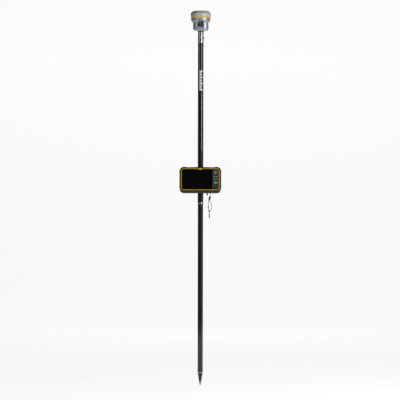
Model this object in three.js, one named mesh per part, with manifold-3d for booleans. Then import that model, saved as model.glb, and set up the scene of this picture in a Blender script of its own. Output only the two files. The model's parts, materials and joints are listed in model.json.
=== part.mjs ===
// A satellite survey rover: a rugged tablet data collector held by a bracket on a two-piece
// carbon range pole, with a receiver on the top of the pole.
// Millimetres, +Z up. The pole's axis is Z and the point of its tip is the origin.
// The tablet faces -Y and leans back, and +X is its right-hand side.
import * as THREE from "three";
import { mergeVertices } from "three/addons/utils/BufferGeometryUtils.js";
import Module from "manifold-3d";

const wasm = await Module();
wasm.setup();

// ---- Driving dimensions -------------------------------------------------------------------

const GAP = 0.3;
const SIDES = 32;

const TIP = { flat: 1, point: 4.5, stud: 3, studTop: 45, collar: 7.85 };
const LOWER = { point: 17.3, collar: 26.7, cone: 71.3, ring: 77.5, radius: 15, spigot: 110 };
const UPPER = { radius: 15.875, ring: 1041.7, tube: 1946, trim: 1953 };
const BORE = 13.2;
const JOINT = { bottom: 932, split: 1032, top: 1085, radius: 12.9, bore: 10.4 };
const LOCK_BUTTON = { x: 3.4, z: 1020, width: 8, height: 10, corner: 3.9 };
const ADAPTER = { radius: 16, top: 2009, socket: 8.3, socketFloor: 1981, bottom: 1900 };
const RELEASE_BUTTON = { z: 1974, radius: 5.5, inner: 9, outer: 19 };

const HOUSING = { floor: 2014.6, half: 42.2, corner: 17, frontCorner: 27, wall: 2.8, waist: 2058, top: 2086 };
const PANEL = { half: 15, bottom: 2037, top: 2070, front: -45, back: -42.5 };
const RECEIVER_BATTERY = { half: 33, height: 22, front: -29.5, back: 42 };
const PORT = { x: 20, z: 2050, radius: 7, plug: 5 };
const STRIP = { halfWidth: 18, bottom: 2022, top: 2051.5, thickness: 1.5, corner: 5 };
const ACCENT = { inner: 50, outer: 56.3, top: 2094 };
const RADOME_TOP = 2129;

const CLAMP = { z: 1153, halfWidth: 24, halfHeight: 22, front: -28, back: 35, bore: 16.3 };
const CLAMP_SLOT = 24.5;
const PAN_Y = -36;
const TILT_Y = -52;
const TILT_BACK = 20;
const KNUCKLE = 8;
const PIN = 3;
const HEAD = { halfWidth: 27, front: -21.7, back: -9, bottom: -27, top: 22 };
const DOVETAIL = { neck: 15, flange: 22, height: 22, neckBack: -18.6, flangeBack: -15.4 };

const TABLET = { x: -1, back: 19, depthFromPivot: 44 };
const TRAY = { width: 219.6, height: 131.6, corner: 15, wall: 2.7, front: -10 };
const BACK_RIM = { width: 230, height: 145, corner: 21 };
const BUMPER = { width: 231, height: 145, front: -18, back: 14, bulge: 2 };
const CORNER_PAD = { width: 236, height: 150, top: 24, bottom: 35, reachX: 79, reachZ: 41 };
const BEZEL = { width: 4.9, front: -18.4, badgeFront: -19.2, badge: 61.6 };
const GLASS = { front: -17.6, back: -15.6 };
const KEY_PANEL = { back: -14.6 };
const SEAM = 67;
const KEY = { front: -19, back: -13.7 };
const BATTERY = { x: 78, halfWidth: 27, halfHeight: 40, floor: 9 };
const SILO = { x: 39.6, y: 4, bore: 3.6, boss: 6, top: 35 };
const LUG = { x: 56.6, y: 16.4, z: -76, hole: 2.3 };

const CORD_RADIUS = 1.45;
const LINK = { radius: 6, wire: 0.7 };
const LOCK_BARREL = { radius: 5.3, length: 22, lean: 11.8, x: -5.6, z: -35 };
const CRIMP = { x: -5.9, top: -97, bottom: -104, radius: 4.3 };
const BEAD = { x: -10.8, top: -71.5, bottom: -82.5, radius: 2.85 };
const CORD_END = { top: -114, bottom: -138, radius: 2.85 };

// The cords' routes hang below the lug, as [x, z] from the middle of its hole.
const LEFT_ROUTE = [
  [-7.7, -35.4], [-8.9, -42], [-10.4, -54], [-10.8, -68], [-10.8, -77], [-11, -86], [-10.4, -92],
  [-9.1, -96.3],
];
const RIGHT_ROUTE = [
  [-3.7, -36.5], [-2, -42], [5.2, -54], [6.6, -68], [6.3, -79], [4.6, -88], [-1.5, -92.4],
  [-5.7, -95.5], [-5.9, -100], [-5.9, -106], [-5.9, -113.7],
];

// Key caps on the panel: the middle, the size and the corner radius of each.
const KEYS = [
  { name: "function_key_1", x: 79, z: 15, width: 10.6, height: 8, corner: 2, finish: "keycap" },
  { name: "function_key_2", x: 92, z: 15, width: 10.6, height: 8, corner: 2, finish: "keycap" },
  { name: "function_key_3", x: 79, z: 2, width: 10.6, height: 8, corner: 2, finish: "keycap" },
  { name: "function_key_4", x: 92, z: 2, width: 10.6, height: 8, corner: 2, finish: "keycap" },
  { name: "home_key", x: 85.5, z: -10, width: 8.4, height: 8.4, corner: 4, finish: "keycap" },
  { name: "enter_key", x: 85.5, z: -21.4, width: 21, height: 6.4, corner: 3, finish: "greenKey" },
];
const DPAD = { x: 85.9, z: 40.8, radius: 10.6, centre: 4.6 };

// Colour, roughness and metalness of each finish.
const FINISHES = {
  carbon: [0x1e1d1b, 0.35, 0],
  tipSteel: [0x4a3d33, 0.4, 1],
  silver: [0xb9bab8, 0.3, 1],
  blackPlastic: [0x17181a, 0.5, 0],
  greyMetal: [0x63676b, 0.4, 1],
  darkMetal: [0x26282b, 0.4, 1],
  radome: [0xd9d8d2, 0.45, 0],
  accent: [0xe3c02e, 0.4, 0],
  housing: [0xa5a8af, 0.5, 0],
  panel: [0x32373e, 0.4, 0],
  rubber: [0x2b2a29, 0.8, 0],
  board: [0x1e5a3a, 0.6, 0],
  ceramic: [0xcfc6ae, 0.6, 0],
  yellow: [0xd7b40f, 0.45, 0],
  glass: [0x060708, 0.08, 0],
  keyPanel: [0x3f4143, 0.5, 0],
  keycap: [0x5f6163, 0.6, 0],
  greenKey: [0x40c896, 0.5, 0],
  coverPlastic: [0x2c2d2f, 0.6, 0],
  batteryPlastic: [0x222325, 0.6, 0],
  cord: [0x2f3031, 0.9, 0],
};

// ---- Making, joining and cutting solids ---------------------------------------------------

// A closed three.js geometry as a solid that can be joined and cut.
function solid(geometry) {
  const bare = new THREE.BufferGeometry();
  bare.setAttribute("position", geometry.getAttribute("position"));
  bare.setIndex(geometry.index);
  const merged = mergeVertices(bare, 1e-4);
  return new wasm.Manifold(new wasm.Mesh({
    numProp: 3,
    vertProperties: merged.getAttribute("position").array,
    triVerts: new Uint32Array(merged.index.array),
  }));
}

// The solid's surface as a geometry with shared vertices.
function surface(body) {
  const mesh = body.getMesh();
  const geometry = new THREE.BufferGeometry();
  geometry.setAttribute("position", new THREE.BufferAttribute(mesh.vertProperties, 3));
  geometry.setIndex(new THREE.BufferAttribute(mesh.triVerts, 1));
  geometry.computeVertexNormals();
  return geometry;
}

function join(...bodies) {
  return bodies.reduce((whole, body) => whole.add(body));
}

function cut(body, ...tools) {
  return tools.reduce((left, tool) => left.subtract(tool), body);
}

// A solid of revolution about Z through [radius, z] points that start and end on the axis.
function turned(profile, sides = SIDES) {
  const points = profile.map(([radius, z]) => new THREE.Vector2(radius, z));
  return solid(new THREE.LatheGeometry(points, sides).rotateX(Math.PI / 2));
}

// A ring about Z between two radii and two heights.
function ring(inner, outer, bottom, top, sides = SIDES) {
  return turned([[inner, bottom], [outer, bottom], [outer, top], [inner, top], [inner, bottom]], sides);
}

function block(x0, x1, y0, y1, z0, z1) {
  const geometry = new THREE.BoxGeometry(x1 - x0, y1 - y0, z1 - z0);
  return solid(geometry.translate((x0 + x1) / 2, (y0 + y1) / 2, (z0 + z1) / 2));
}

// A round bar along one axis, from one coordinate to another, through a point beside the origin.
function bar(axis, radius, from, to, [x, y, z] = [0, 0, 0], sides = 16) {
  const geometry = new THREE.CylinderGeometry(radius, radius, to - from, sides);
  const middle = (from + to) / 2;
  if (axis === "x") {
    geometry.rotateZ(-Math.PI / 2).translate(middle, y, z);
  } else if (axis === "y") {
    geometry.translate(x, middle, z);
  } else {
    geometry.rotateX(Math.PI / 2).translate(x, y, middle);
  }
  return solid(geometry);
}

// A plate drawn in X and Z, with its thickness along Y.
function plateY(outline, front, back, curveSegments = 4) {
  const geometry = new THREE.ExtrudeGeometry(outline, {
    depth: back - front, bevelEnabled: false, curveSegments,
  });
  return solid(geometry.rotateX(Math.PI / 2).translate(0, back, 0));
}

// A plate drawn in X and Y, with its thickness along Z.
function plateZ(outline, bottom, top, curveSegments = 4) {
  const geometry = new THREE.ExtrudeGeometry(outline, {
    depth: top - bottom, bevelEnabled: false, curveSegments,
  });
  return solid(geometry.translate(0, 0, bottom));
}

// A rectangle with round corners. The lower corners can be rounder, and the sides can bow out.
function rounded(width, height, corner, lowerCorner = corner, bulge = 0) {
  const x = width / 2;
  const y = height / 2;
  const outline = new THREE.Shape();
  const side = (controlX, controlY, endX, endY) => {
    if (bulge > 0) {
      outline.quadraticCurveTo(controlX, controlY, endX, endY);
    } else {
      outline.lineTo(endX, endY);
    }
  };
  outline.moveTo(lowerCorner - x, -y);
  side(0, -y - 2 * bulge, x - lowerCorner, -y);
  outline.absarc(x - lowerCorner, lowerCorner - y, lowerCorner, -Math.PI / 2, 0);
  side(x + 2 * bulge, 0, x, y - corner);
  outline.absarc(x - corner, y - corner, corner, 0, Math.PI / 2);
  side(0, y + 2 * bulge, corner - x, y);
  outline.absarc(corner - x, y - corner, corner, Math.PI / 2, Math.PI);
  side(-x - 2 * bulge, 0, -x, lowerCorner - y);
  outline.absarc(lowerCorner - x, lowerCorner - y, lowerCorner, Math.PI, Math.PI * 1.5);
  return outline;
}

// A cord that hangs in the XZ plane through [x, z] points.
function hangingCord(route, steps) {
  const points = route.map(([x, z]) => new THREE.Vector3(x, 0, z));
  const corners = Array.from({ length: 8 }, (_, index) => {
    const angle = (index + 0.5) * Math.PI / 4;
    return new THREE.Vector2(CORD_RADIUS * Math.cos(angle), CORD_RADIUS * Math.sin(angle));
  });
  const extrudePath = new THREE.CatmullRomCurve3(points, false, "centripetal");
  const section = new THREE.Shape(corners);
  return solid(new THREE.ExtrudeGeometry(section, { steps, bevelEnabled: false, extrudePath }));
}

function part(name, body, finish) {
  const [color, roughness, metalness] = FINISHES[finish];
  const material = new THREE.MeshStandardMaterial({ color, roughness, metalness });
  const mesh = new THREE.Mesh(surface(body), material);
  mesh.name = name;
  return mesh;
}

function group(position, tilt, ...children) {
  const holder = new THREE.Group();
  holder.position.set(...position);
  holder.rotation.x = THREE.MathUtils.degToRad(tilt);
  holder.add(...children);
  return holder;
}

// ---- The pole -----------------------------------------------------------------------------

// The steel point screws into the tip cone with a stud.
function tipPoint() {
  return turned([
    [0, 0], [TIP.flat, 0], [3.5, 9], [TIP.point, 15], [TIP.point, LOWER.point],
    [TIP.stud, LOWER.point], [TIP.stud, TIP.studTop], [0, TIP.studTop],
  ], 32);
}

// The cone's upper end is a plug inside the lower tube.
function tipCone() {
  const bottom = LOWER.collar + GAP;
  const outside = turned([
    [0, bottom], [7, bottom], [9, 40], [10.65, 52], [12.2, 63], [14.5, LOWER.cone],
    [JOINT.radius, LOWER.cone], [JOINT.radius, LOWER.spigot], [0, LOWER.spigot],
  ]);
  return cut(outside, bar("z", TIP.stud + GAP, bottom - 1, TIP.studTop + GAP));
}

function lockButtonOutline(clearance) {
  const width = LOCK_BUTTON.width + 2 * clearance;
  const height = LOCK_BUTTON.height + 2 * clearance;
  return rounded(width, height, LOCK_BUTTON.corner + clearance - 0.1);
}

function lockButton(clearance, front, back) {
  return plateY(lockButtonOutline(clearance), front, back, 4).translate(LOCK_BUTTON.x, 0, LOCK_BUTTON.z);
}

function lowerTube() {
  const tube = ring(BORE, LOWER.radius, LOWER.ring + GAP, JOINT.split);
  return cut(tube, lockButton(GAP, -LOWER.radius - 1, 0));
}

// The spigot joins the two sections. Its keyway, open below, clears the lock button.
function jointSpigot() {
  const tube = ring(JOINT.bore, JOINT.radius, JOINT.bottom, JOINT.top);
  const keyHalf = LOCK_BUTTON.width / 2 + 1;
  const keyTop = LOCK_BUTTON.z + LOCK_BUTTON.height / 2 + 2;
  const left = LOCK_BUTTON.x - keyHalf;
  const right = LOCK_BUTTON.x + keyHalf;
  return cut(tube, block(left, right, -JOINT.radius - 1, -2, JOINT.bottom - 1, keyTop));
}

function adapter() {
  const outside = turned([
    [0, ADAPTER.bottom], [JOINT.radius, ADAPTER.bottom], [JOINT.radius, UPPER.trim + GAP],
    [ADAPTER.radius, UPPER.trim + GAP], [ADAPTER.radius, ADAPTER.top], [0, ADAPTER.top],
  ]);
  const at = [0, 0, RELEASE_BUTTON.z];
  const pocket = bar("x", RELEASE_BUTTON.radius + GAP, RELEASE_BUTTON.inner - 3, 20, at);
  const socket = bar("z", ADAPTER.socket, ADAPTER.socketFloor, ADAPTER.top + 1);
  return cut(outside, pocket, socket);
}

function pole() {
  const buttonAt = [0, 0, RELEASE_BUTTON.z];
  const releaseButton = bar("x", RELEASE_BUTTON.radius, RELEASE_BUTTON.inner, RELEASE_BUTTON.outer, buttonAt);
  return group([0, 0, 0], 0,
    part("tip_point", tipPoint(), "tipSteel"),
    part("tip_collar", ring(TIP.stud + GAP, TIP.collar, LOWER.point + GAP, LOWER.collar, 32), "silver"),
    part("tip_cone", tipCone(), "blackPlastic"),
    part("lower_ring", ring(BORE, 14.75, LOWER.cone + GAP, LOWER.ring), "silver"),
    part("lower_tube", lowerTube(), "carbon"),
    part("lock_button", lockButton(0, -17, -9), "greyMetal"),
    part("joint_ring", ring(BORE, UPPER.radius, JOINT.split + GAP, UPPER.ring), "silver"),
    part("joint_spigot", jointSpigot(), "greyMetal"),
    part("upper_tube", ring(BORE, UPPER.radius, UPPER.ring + GAP, UPPER.tube), "carbon"),
    part("top_ring", ring(BORE, UPPER.radius, UPPER.tube + GAP, UPPER.trim), "silver"),
    part("adapter", adapter(), "greyMetal"),
    part("release_button", releaseButton, "darkMetal"),
  );
}

// ---- The receiver -------------------------------------------------------------------------

// The collar under the receiver carries the stud that drops into the adapter's socket.
function baseCollar() {
  const stud = ADAPTER.socket - 0.4;
  const under = ADAPTER.top + GAP;
  const top = HOUSING.floor - GAP;
  const studEnd = ADAPTER.socketFloor + 1;
  return turned([[0, studEnd], [stud, studEnd], [stud, under], [19, under], [19, top], [0, top]], 32);
}

// A square body with round corners and a chamfered foot, which flares into a round rim.
function housingOutside() {
  const side = 2 * HOUSING.half;
  const outline = rounded(side, side, HOUSING.corner, HOUSING.frontCorner);
  const body = plateZ(outline, HOUSING.floor, HOUSING.waist);
  const foot = turned([
    [0, HOUSING.floor], [45, HOUSING.floor], [50, 2018.5], [54.5, 2026], [54.5, 2060], [0, 2060],
  ]);
  const flare = turned([
    [0, 2052], [43, 2052], [43.8, 2057], [46.5, 2063], [52.5, 2069], [55, 2075],
    [55.7, HOUSING.top], [0, HOUSING.top],
  ]);
  return join(body.intersect(foot), flare);
}

function housingInside() {
  const side = 2 * (HOUSING.half - HOUSING.wall);
  const corners = [HOUSING.corner - HOUSING.wall, HOUSING.frontCorner - HOUSING.wall];
  const body = plateZ(rounded(side, side, ...corners), HOUSING.floor + 3, HOUSING.waist + 1);
  const flare = turned([
    [0, HOUSING.waist], [39, HOUSING.waist], [43.5, 2064], [49.5, 2070], [52.4, 2076],
    [53, HOUSING.top + 1], [0, HOUSING.top + 1],
  ]);
  return join(body, flare);
}

function batteryBlock(clearance, front, back) {
  const half = RECEIVER_BATTERY.half + clearance;
  const bottom = HOUSING.floor + 3.4 - clearance;
  const top = bottom + RECEIVER_BATTERY.height + 2 * clearance;
  return block(-half, half, front, back, bottom, top);
}

function lowerHousing() {
  const window = block(
    -PANEL.half - GAP, PANEL.half + GAP, -60, PANEL.back + GAP / 2,
    PANEL.bottom - GAP, PANEL.top + GAP,
  );
  const batterySlot = batteryBlock(GAP, 30, 60);
  const ports = [-PORT.x, PORT.x].map((x) => bar("y", PORT.plug + GAP, 30, 60, [x, 0, PORT.z]));
  return cut(housingOutside(), housingInside(), window, batterySlot, ...ports);
}

function sideStrip(side) {
  const height = STRIP.top - STRIP.bottom;
  const outline = rounded(2 * STRIP.halfWidth, height, STRIP.corner);
  const inner = HOUSING.half + GAP;
  const strip = plateY(outline, inner, inner + STRIP.thickness, 4);
  return strip.rotate([0, 0, -90 * side]).translate([0, 0, (STRIP.top + STRIP.bottom) / 2]);
}

function portCap(x) {
  const outside = HOUSING.half + GAP;
  const at = [x, 0, PORT.z];
  return join(bar("y", PORT.radius, outside, outside + 3, at), bar("y", PORT.plug, 39, outside + 1, at));
}

function radome() {
  const bottom = ACCENT.top + GAP;
  return turned([
    [0, 2126.3], [39, 2125], [48.4, 2117], [54, 2109], [54.6, bottom],
    [57.1, bottom], [57.5, 2102], [58, 2108], [56.8, 2113.6], [51.8, 2119.4], [45.4, 2125],
    [40.6, 2127.6], [25, 2128.7], [0, RADOME_TOP],
  ]);
}

function antennaElement() {
  return turned([[0, 2096], [49, 2096], [49, 2099], [30, 2099], [30, 2107], [0, 2107]], 32);
}

function receiverBoard() {
  const board = block(-33, 33, -30, 33, 2052, 2053.6);
  return join(board, block(-18, 16, -20, 8, 2053.5, 2057), block(-26, -10, 14, 24, 2053.5, 2058));
}

function receiver() {
  const buttonAt = [0, 0, 2044];
  const panel = block(
    -PANEL.half, PANEL.half, PANEL.front, PANEL.back, PANEL.bottom, PANEL.top,
  );
  const button = bar("y", 3.5, PANEL.front - 1.2, PANEL.front + 1.4, buttonAt);
  return group([0, 0, 0], 0,
    part("base_collar", baseCollar(), "blackPlastic"),
    part("lower_housing", lowerHousing(), "housing"),
    part("side_strip_left", sideStrip(-1), "rubber"),
    part("side_strip_right", sideStrip(1), "rubber"),
    part("front_panel", cut(panel, bar("y", 3.8, -60, -40, buttonAt)), "panel"),
    part("receiver_power_button", button, "keycap"),
    part(
      "receiver_battery", batteryBlock(0, RECEIVER_BATTERY.front, RECEIVER_BATTERY.back),
      "batteryPlastic",
    ),
    part("port_cap_left", portCap(-PORT.x), "rubber"),
    part("port_cap_right", portCap(PORT.x), "rubber"),
    part("accent_ring", ring(ACCENT.inner, ACCENT.outer, HOUSING.top + GAP, ACCENT.top), "accent"),
    part("antenna_element", antennaElement(), "ceramic"),
    part("receiver_board", receiverBoard(), "board"),
    part("radome", radome(), "radome"),
  );
}

// ---- The bracket --------------------------------------------------------------------------

// A jaw that is open on its left side, with two ears in front that hold the swivel fork.
function clampBody() {
  const depth = CLAMP.back - CLAMP.front;
  const outline = rounded(2 * CLAMP.halfWidth, depth, 6);
  const jaw = plateZ(outline, -CLAMP.halfHeight, CLAMP.halfHeight)
    .translate([0, (CLAMP.front + CLAMP.back) / 2, 0]);
  const ears = [[15, 21], [-21, -15]].flatMap(([bottom, top]) => [
    block(-7, 7, PAN_Y, CLAMP.front + 1, bottom, top),
    bar("z", 7, bottom, top, [0, PAN_Y, 0]),
  ]);
  return cut(join(jaw, ...ears),
    bar("z", CLAMP.bore, -30, 30, [0, 0, 0], SIDES),
    block(-CLAMP.bore, CLAMP.bore, 0, CLAMP_SLOT, -30, 30),
    block(-30, 0, -8, CLAMP_SLOT, -30, 30),
    bar("z", PIN + GAP, -30, 30, [0, PAN_Y, 0]),
    bar("y", 4 + GAP, CLAMP_SLOT - 1, CLAMP.back + 1),
  );
}

function clampPad() {
  return cut(block(-13, 13, 10.5, 20.3, -12, 12), bar("z", CLAMP.bore, -30, 30, [0, 0, 0], SIDES));
}

// The knob's screw runs through the back of the jaw to the pad.
function clampKnob() {
  return join(bar("y", 4, 20.6, 38), bar("y", 15, CLAMP.back + 1.5, 52, [0, 0, 0], 24));
}

function swivelFork() {
  const upright = bar("z", 6.5, -14.7, 14.7, [0, PAN_Y, 0]);
  const knuckle = bar("x", KNUCKLE, -8.7, 8.7, [0, TILT_Y, 0]);
  const web = block(-6, 6, TILT_Y, PAN_Y, -7, 7);
  return cut(join(upright, knuckle, web),
    bar("z", PIN + GAP, -30, 30, [0, PAN_Y, 0]),
    bar("x", PIN + GAP, -30, 30, [0, TILT_Y, 0]),
  );
}

function panPin() {
  return join(bar("z", PIN, -23, 21.5, [0, PAN_Y, 0]), bar("z", 5, 21.3, 23.3, [0, PAN_Y, 0]));
}

// A channel that the tablet's dovetail slides into from above, on two ears about the tilt bolt.
function headPlate() {
  const plate = block(-HEAD.halfWidth, HEAD.halfWidth, HEAD.front, HEAD.back, HEAD.bottom, HEAD.top);
  const stop = -DOVETAIL.height - GAP;
  const flange = DOVETAIL.flange + GAP;
  const neck = DOVETAIL.neck + GAP;
  const channel = cut(plate,
    block(-flange, flange, DOVETAIL.neckBack - GAP, DOVETAIL.flangeBack + GAP, stop, 30),
    block(-neck, neck, -30, DOVETAIL.neckBack, stop, 30),
    bar("x", 3.3, 20, 30, [0, -17, 0]),
  );
  const ears = [[9, 15], [-15, -9]].flatMap(([left, right]) => [
    bar("x", KNUCKLE, left, right),
    block(left, right, HEAD.back - 1, 0, -KNUCKLE, KNUCKLE),
  ]);
  return cut(join(channel, ...ears), bar("x", PIN + GAP, -20, 20));
}

function tiltKnob() {
  return join(bar("x", 6, -19, -15.3), bar("x", PIN, -16, 28), bar("x", 6, 15.3, 29), bar("x", 10, 28, 37));
}

function releasePlunger() {
  const at = [0, -17, 0];
  return join(bar("x", 3, 22.6, 31, at), bar("x", 5, 30, 35, at));
}

// ---- The tablet, about its own middle -----------------------------------------------------

function rearCover() {
  const inside = 2 * TRAY.wall;
  const shell = cut(
    join(
      plateY(rounded(TRAY.width, TRAY.height, TRAY.corner), TRAY.front, TABLET.back),
      plateY(
        rounded(BACK_RIM.width, BACK_RIM.height, BACK_RIM.corner), BUMPER.back + 0.4, TABLET.back,
      ),
    ),
    plateY(rounded(TRAY.width - inside, TRAY.height - inside, 11), -11, TABLET.back - 2.8),
  );
  const wells = [-BATTERY.x, BATTERY.x].map((x) => block(
    x - BATTERY.halfWidth - 2, x + BATTERY.halfWidth + 2, BATTERY.floor - 1.6, 17,
    -BATTERY.halfHeight - 2, BATTERY.halfHeight + 2,
  ));
  const boss = bar("z", SILO.boss, -64, SILO.top + 3, [SILO.x, SILO.y, 0]);
  const lug = block(LUG.x - 3.4, LUG.x + 3.4, LUG.y - 1.2, LUG.y + 1.2, LUG.z - 3.4, -69);
  return cut(join(shell, ...wells, boss, lug),
    ...[-BATTERY.x, BATTERY.x].map((x) => batteryPack(x, GAP, BATTERY.floor, 30)),
    bar("z", SILO.bore, -80, SILO.top, [SILO.x, SILO.y, 0]),
    bar("y", LUG.hole, 10, 30, [LUG.x, 0, LUG.z]),
  );
}

function batteryPack(x, clearance, front, back) {
  const halfWidth = BATTERY.halfWidth - GAP + clearance;
  const halfHeight = BATTERY.halfHeight - GAP + clearance;
  return block(x - halfWidth, x + halfWidth, front, back, -halfHeight, halfHeight);
}

// A rubber band round the tray with a thicker pad on each corner.
function tabletBumper() {
  const band = plateY(rounded(BUMPER.width, BUMPER.height, 22, 30, BUMPER.bulge), BUMPER.front, BUMPER.back);
  const padOutline = rounded(
    CORNER_PAD.width, CORNER_PAD.height, CORNER_PAD.top, CORNER_PAD.bottom,
  );
  const padRing = plateY(padOutline, BUMPER.front - 1, BUMPER.back);
  const pads = cut(padRing,
    block(-CORNER_PAD.reachX, CORNER_PAD.reachX, -30, 30, -90, 90),
    block(-130, 130, -30, 30, -CORNER_PAD.reachZ, CORNER_PAD.reachZ),
  );
  const opening = rounded(TRAY.width + 2 * GAP, TRAY.height + 2 * GAP, TRAY.corner + GAP);
  return cut(join(band, pads),
    plateY(opening, -30, 30),
    bar("z", 4.4, -90, -60, [SILO.x, SILO.y, 0]),
    block(LUG.x - 5.5, LUG.x + 5.5, 6, 20, -90, -71),
  );
}

// The bezel carries a plain lens-shaped badge at the middle of its top edge.
function frontBezel() {
  const opening = 2 * BEZEL.width;
  const frame = cut(
    plateY(rounded(TRAY.width, TRAY.height, TRAY.corner), BEZEL.front, TRAY.front - GAP),
    plateY(rounded(TRAY.width - opening, TRAY.height - opening, 9), -30, 0),
  );
  const badge = new THREE.Shape();
  badge.moveTo(-15, BEZEL.badge);
  badge.quadraticCurveTo(0, BEZEL.badge - 9.5, 15, BEZEL.badge);
  badge.quadraticCurveTo(0, BEZEL.badge + 9.5, -15, BEZEL.badge);
  return join(frame, plateY(badge, BEZEL.badgeFront, BEZEL.front + 0.4, 10));
}

// The part of the sheet inside the bezel that lies between two sides.
function insideBezel(left, right, front, back) {
  const margin = 2 * (BEZEL.width + GAP);
  const outline = rounded(TRAY.width - margin, TRAY.height - margin, 8.7);
  return plateY(outline, front, back).intersect(block(left, right, -30, 0, -90, 90));
}

function keyCap({ x, z, width, height, corner }, clearance, front, back) {
  const outline = rounded(width + 2 * clearance, height + 2 * clearance, corner);
  return plateY(outline, front, back, 4).translate([x, 0, z]);
}

function keyPanel() {
  const panel = insideBezel(SEAM + GAP, 120, GLASS.front, KEY_PANEL.back);
  const keyHoles = KEYS.map((key) => keyCap(key, GAP, -30, 0));
  const dpadHole = bar("y", DPAD.radius + GAP, -30, 0, [DPAD.x, 0, DPAD.z], 24);
  return cut(panel, ...keyHoles, dpadHole);
}

function dpad() {
  const at = [DPAD.x, 0, DPAD.z];
  const hole = bar("y", DPAD.centre, -30, 0, at);
  return cut(bar("y", DPAD.radius, KEY.front, KEY.back, at, 24), hole);
}

function tabletBoard() {
  return join(
    block(-98, 98, -6.6, -5, -55, 55),
    block(-34, 8, -5.2, -3.2, -22, 20),
    block(-80, -52, -5.2, -3.4, 8, 34),
    block(62, 84, -5.2, -3, -36, -18),
  );
}

// The tablet's half of the dovetail: a plate on the cover, a neck and a wider flange.
function mountPuck() {
  const back = TABLET.back - GAP / 2;
  const height = DOVETAIL.height;
  const neckBack = DOVETAIL.neckBack + TABLET.depthFromPivot;
  const flangeBack = DOVETAIL.flangeBack + TABLET.depthFromPivot;
  return join(
    block(-30, 30, back + 0.45, 22, -height, height),
    block(-DOVETAIL.neck, DOVETAIL.neck, 21, neckBack + 0.5, -height, height),
    block(-DOVETAIL.flange, DOVETAIL.flange, neckBack, flangeBack, -height, height),
  ).translate([-TABLET.x, 0, 0]);
}

function stylus() {
  const at = [SILO.x, SILO.y, 0];
  const shaft = bar("z", SILO.bore - GAP, -82, SILO.top - 1.5, at, 16);
  const ball = solid(new THREE.SphereGeometry(4.5, 16, 12).translate(SILO.x, SILO.y, -85));
  return join(shaft, ball);
}

function keys() {
  const caps = KEYS.map((key) => part(key.name, keyCap(key, 0, KEY.front, KEY.back), key.finish));
  const centre = bar("y", DPAD.centre - GAP, KEY.front - 0.4, KEY.back, [DPAD.x, 0, DPAD.z]);
  return [...caps, part("direction_pad", dpad(), "keycap"), part("select_key", centre, "keycap")];
}

function tablet() {
  const batteryFront = BATTERY.floor + GAP;
  return group([TABLET.x, -TABLET.depthFromPivot, 0], 0,
    part("mount_puck", mountPuck(), "darkMetal"),
    part("rear_cover", rearCover(), "coverPlastic"),
    part("tablet_bumper", tabletBumper(), "rubber"),
    part("front_bezel", frontBezel(), "yellow"),
    part("screen_glass", insideBezel(-120, SEAM, GLASS.front, GLASS.back), "glass"),
    part("display_module", block(-98, 57, -15.3, -9.6, -52, 52), "greyMetal"),
    part("key_panel", keyPanel(), "keyPanel"),
    part("tablet_board", tabletBoard(), "board"),
    part("tablet_battery_left", batteryPack(-BATTERY.x, 0, batteryFront, TABLET.back), "batteryPlastic"),
    part("tablet_battery_right", batteryPack(BATTERY.x, 0, batteryFront, TABLET.back), "batteryPlastic"),
    part("stylus", stylus(), "blackPlastic"),
    ...keys(),
  );
}

// ---- The lanyard, which hangs plumb from the tablet's lug ---------------------------------

function linkRing() {
  const torus = new THREE.TorusGeometry(LINK.radius, LINK.wire, 8, 28);
  return solid(torus.rotateY(Math.PI / 2).translate(0, 0, -LINK.radius));
}

// A barrel that leans to the left under a flat eye, which the link ring passes through.
function cordLock() {
  const barrel = bar("z", LOCK_BARREL.radius, 0, LOCK_BARREL.length)
    .rotate([0, LOCK_BARREL.lean, 0])
    .translate([LOCK_BARREL.x, 0, LOCK_BARREL.z]);
  const eyeHeight = -2 * LINK.radius;
  const eye = block(-3.8, 2.6, -1.2, 1.2, eyeHeight - 5, eyeHeight + 3);
  return cut(join(barrel, eye), bar("y", 1.6, -10, 10, [0, 0, eyeHeight]));
}

function cordEnd() {
  const { top, bottom, radius } = CORD_END;
  const profile = [[0, bottom], [1.8, bottom], [radius, bottom + 1.6], [radius, top], [0, top]];
  return turned(profile, 20).translate([CRIMP.x, 0, 0]);
}

function lanyard() {
  const crimp = ring(CORD_RADIUS + 0.4, CRIMP.radius, CRIMP.bottom, CRIMP.top, 20);
  const bead = ring(CORD_RADIUS + 0.4, BEAD.radius, BEAD.bottom, BEAD.top, 16);
  return [
    part("link_ring", linkRing(), "silver"),
    part("cord_lock", cordLock(), "blackPlastic"),
    part("cord_left", hangingCord(LEFT_ROUTE, 18), "cord"),
    part("cord_right", hangingCord(RIGHT_ROUTE, 28), "cord"),
    part("cord_bead", bead.translate([BEAD.x, 0, 0]), "blackPlastic"),
    part("cord_crimp", crimp.translate([CRIMP.x, 0, 0]), "darkMetal"),
    part("cord_end", cordEnd(), "blackPlastic"),
  ];
}

// ---- The assembly -------------------------------------------------------------------------

// Where the middle of the lug's hole stands, behind and below the tilt bolt.
function lugPosition() {
  const fromPivot = new THREE.Vector3(
    TABLET.x + LUG.x, LUG.y - TABLET.depthFromPivot, LUG.z,
  );
  fromPivot.applyAxisAngle(new THREE.Vector3(1, 0, 0), THREE.MathUtils.degToRad(-TILT_BACK));
  return [fromPivot.x, fromPivot.y + TILT_Y, fromPivot.z + CLAMP.z];
}

function bracket() {
  return group([0, 0, CLAMP.z], 0,
    part("clamp_body", clampBody(), "darkMetal"),
    part("clamp_pad", clampPad(), "rubber"),
    part("clamp_knob", clampKnob(), "blackPlastic"),
    part("pan_pin", panPin(), "silver"),
    part("swivel_fork", swivelFork(), "greyMetal"),
    group([0, TILT_Y, 0], -TILT_BACK,
      part("head_plate", headPlate(), "darkMetal"),
      part("tilt_knob", tiltKnob(), "blackPlastic"),
      part("release_plunger", releasePlunger(), "silver"),
      tablet(),
    ),
  );
}

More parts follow.
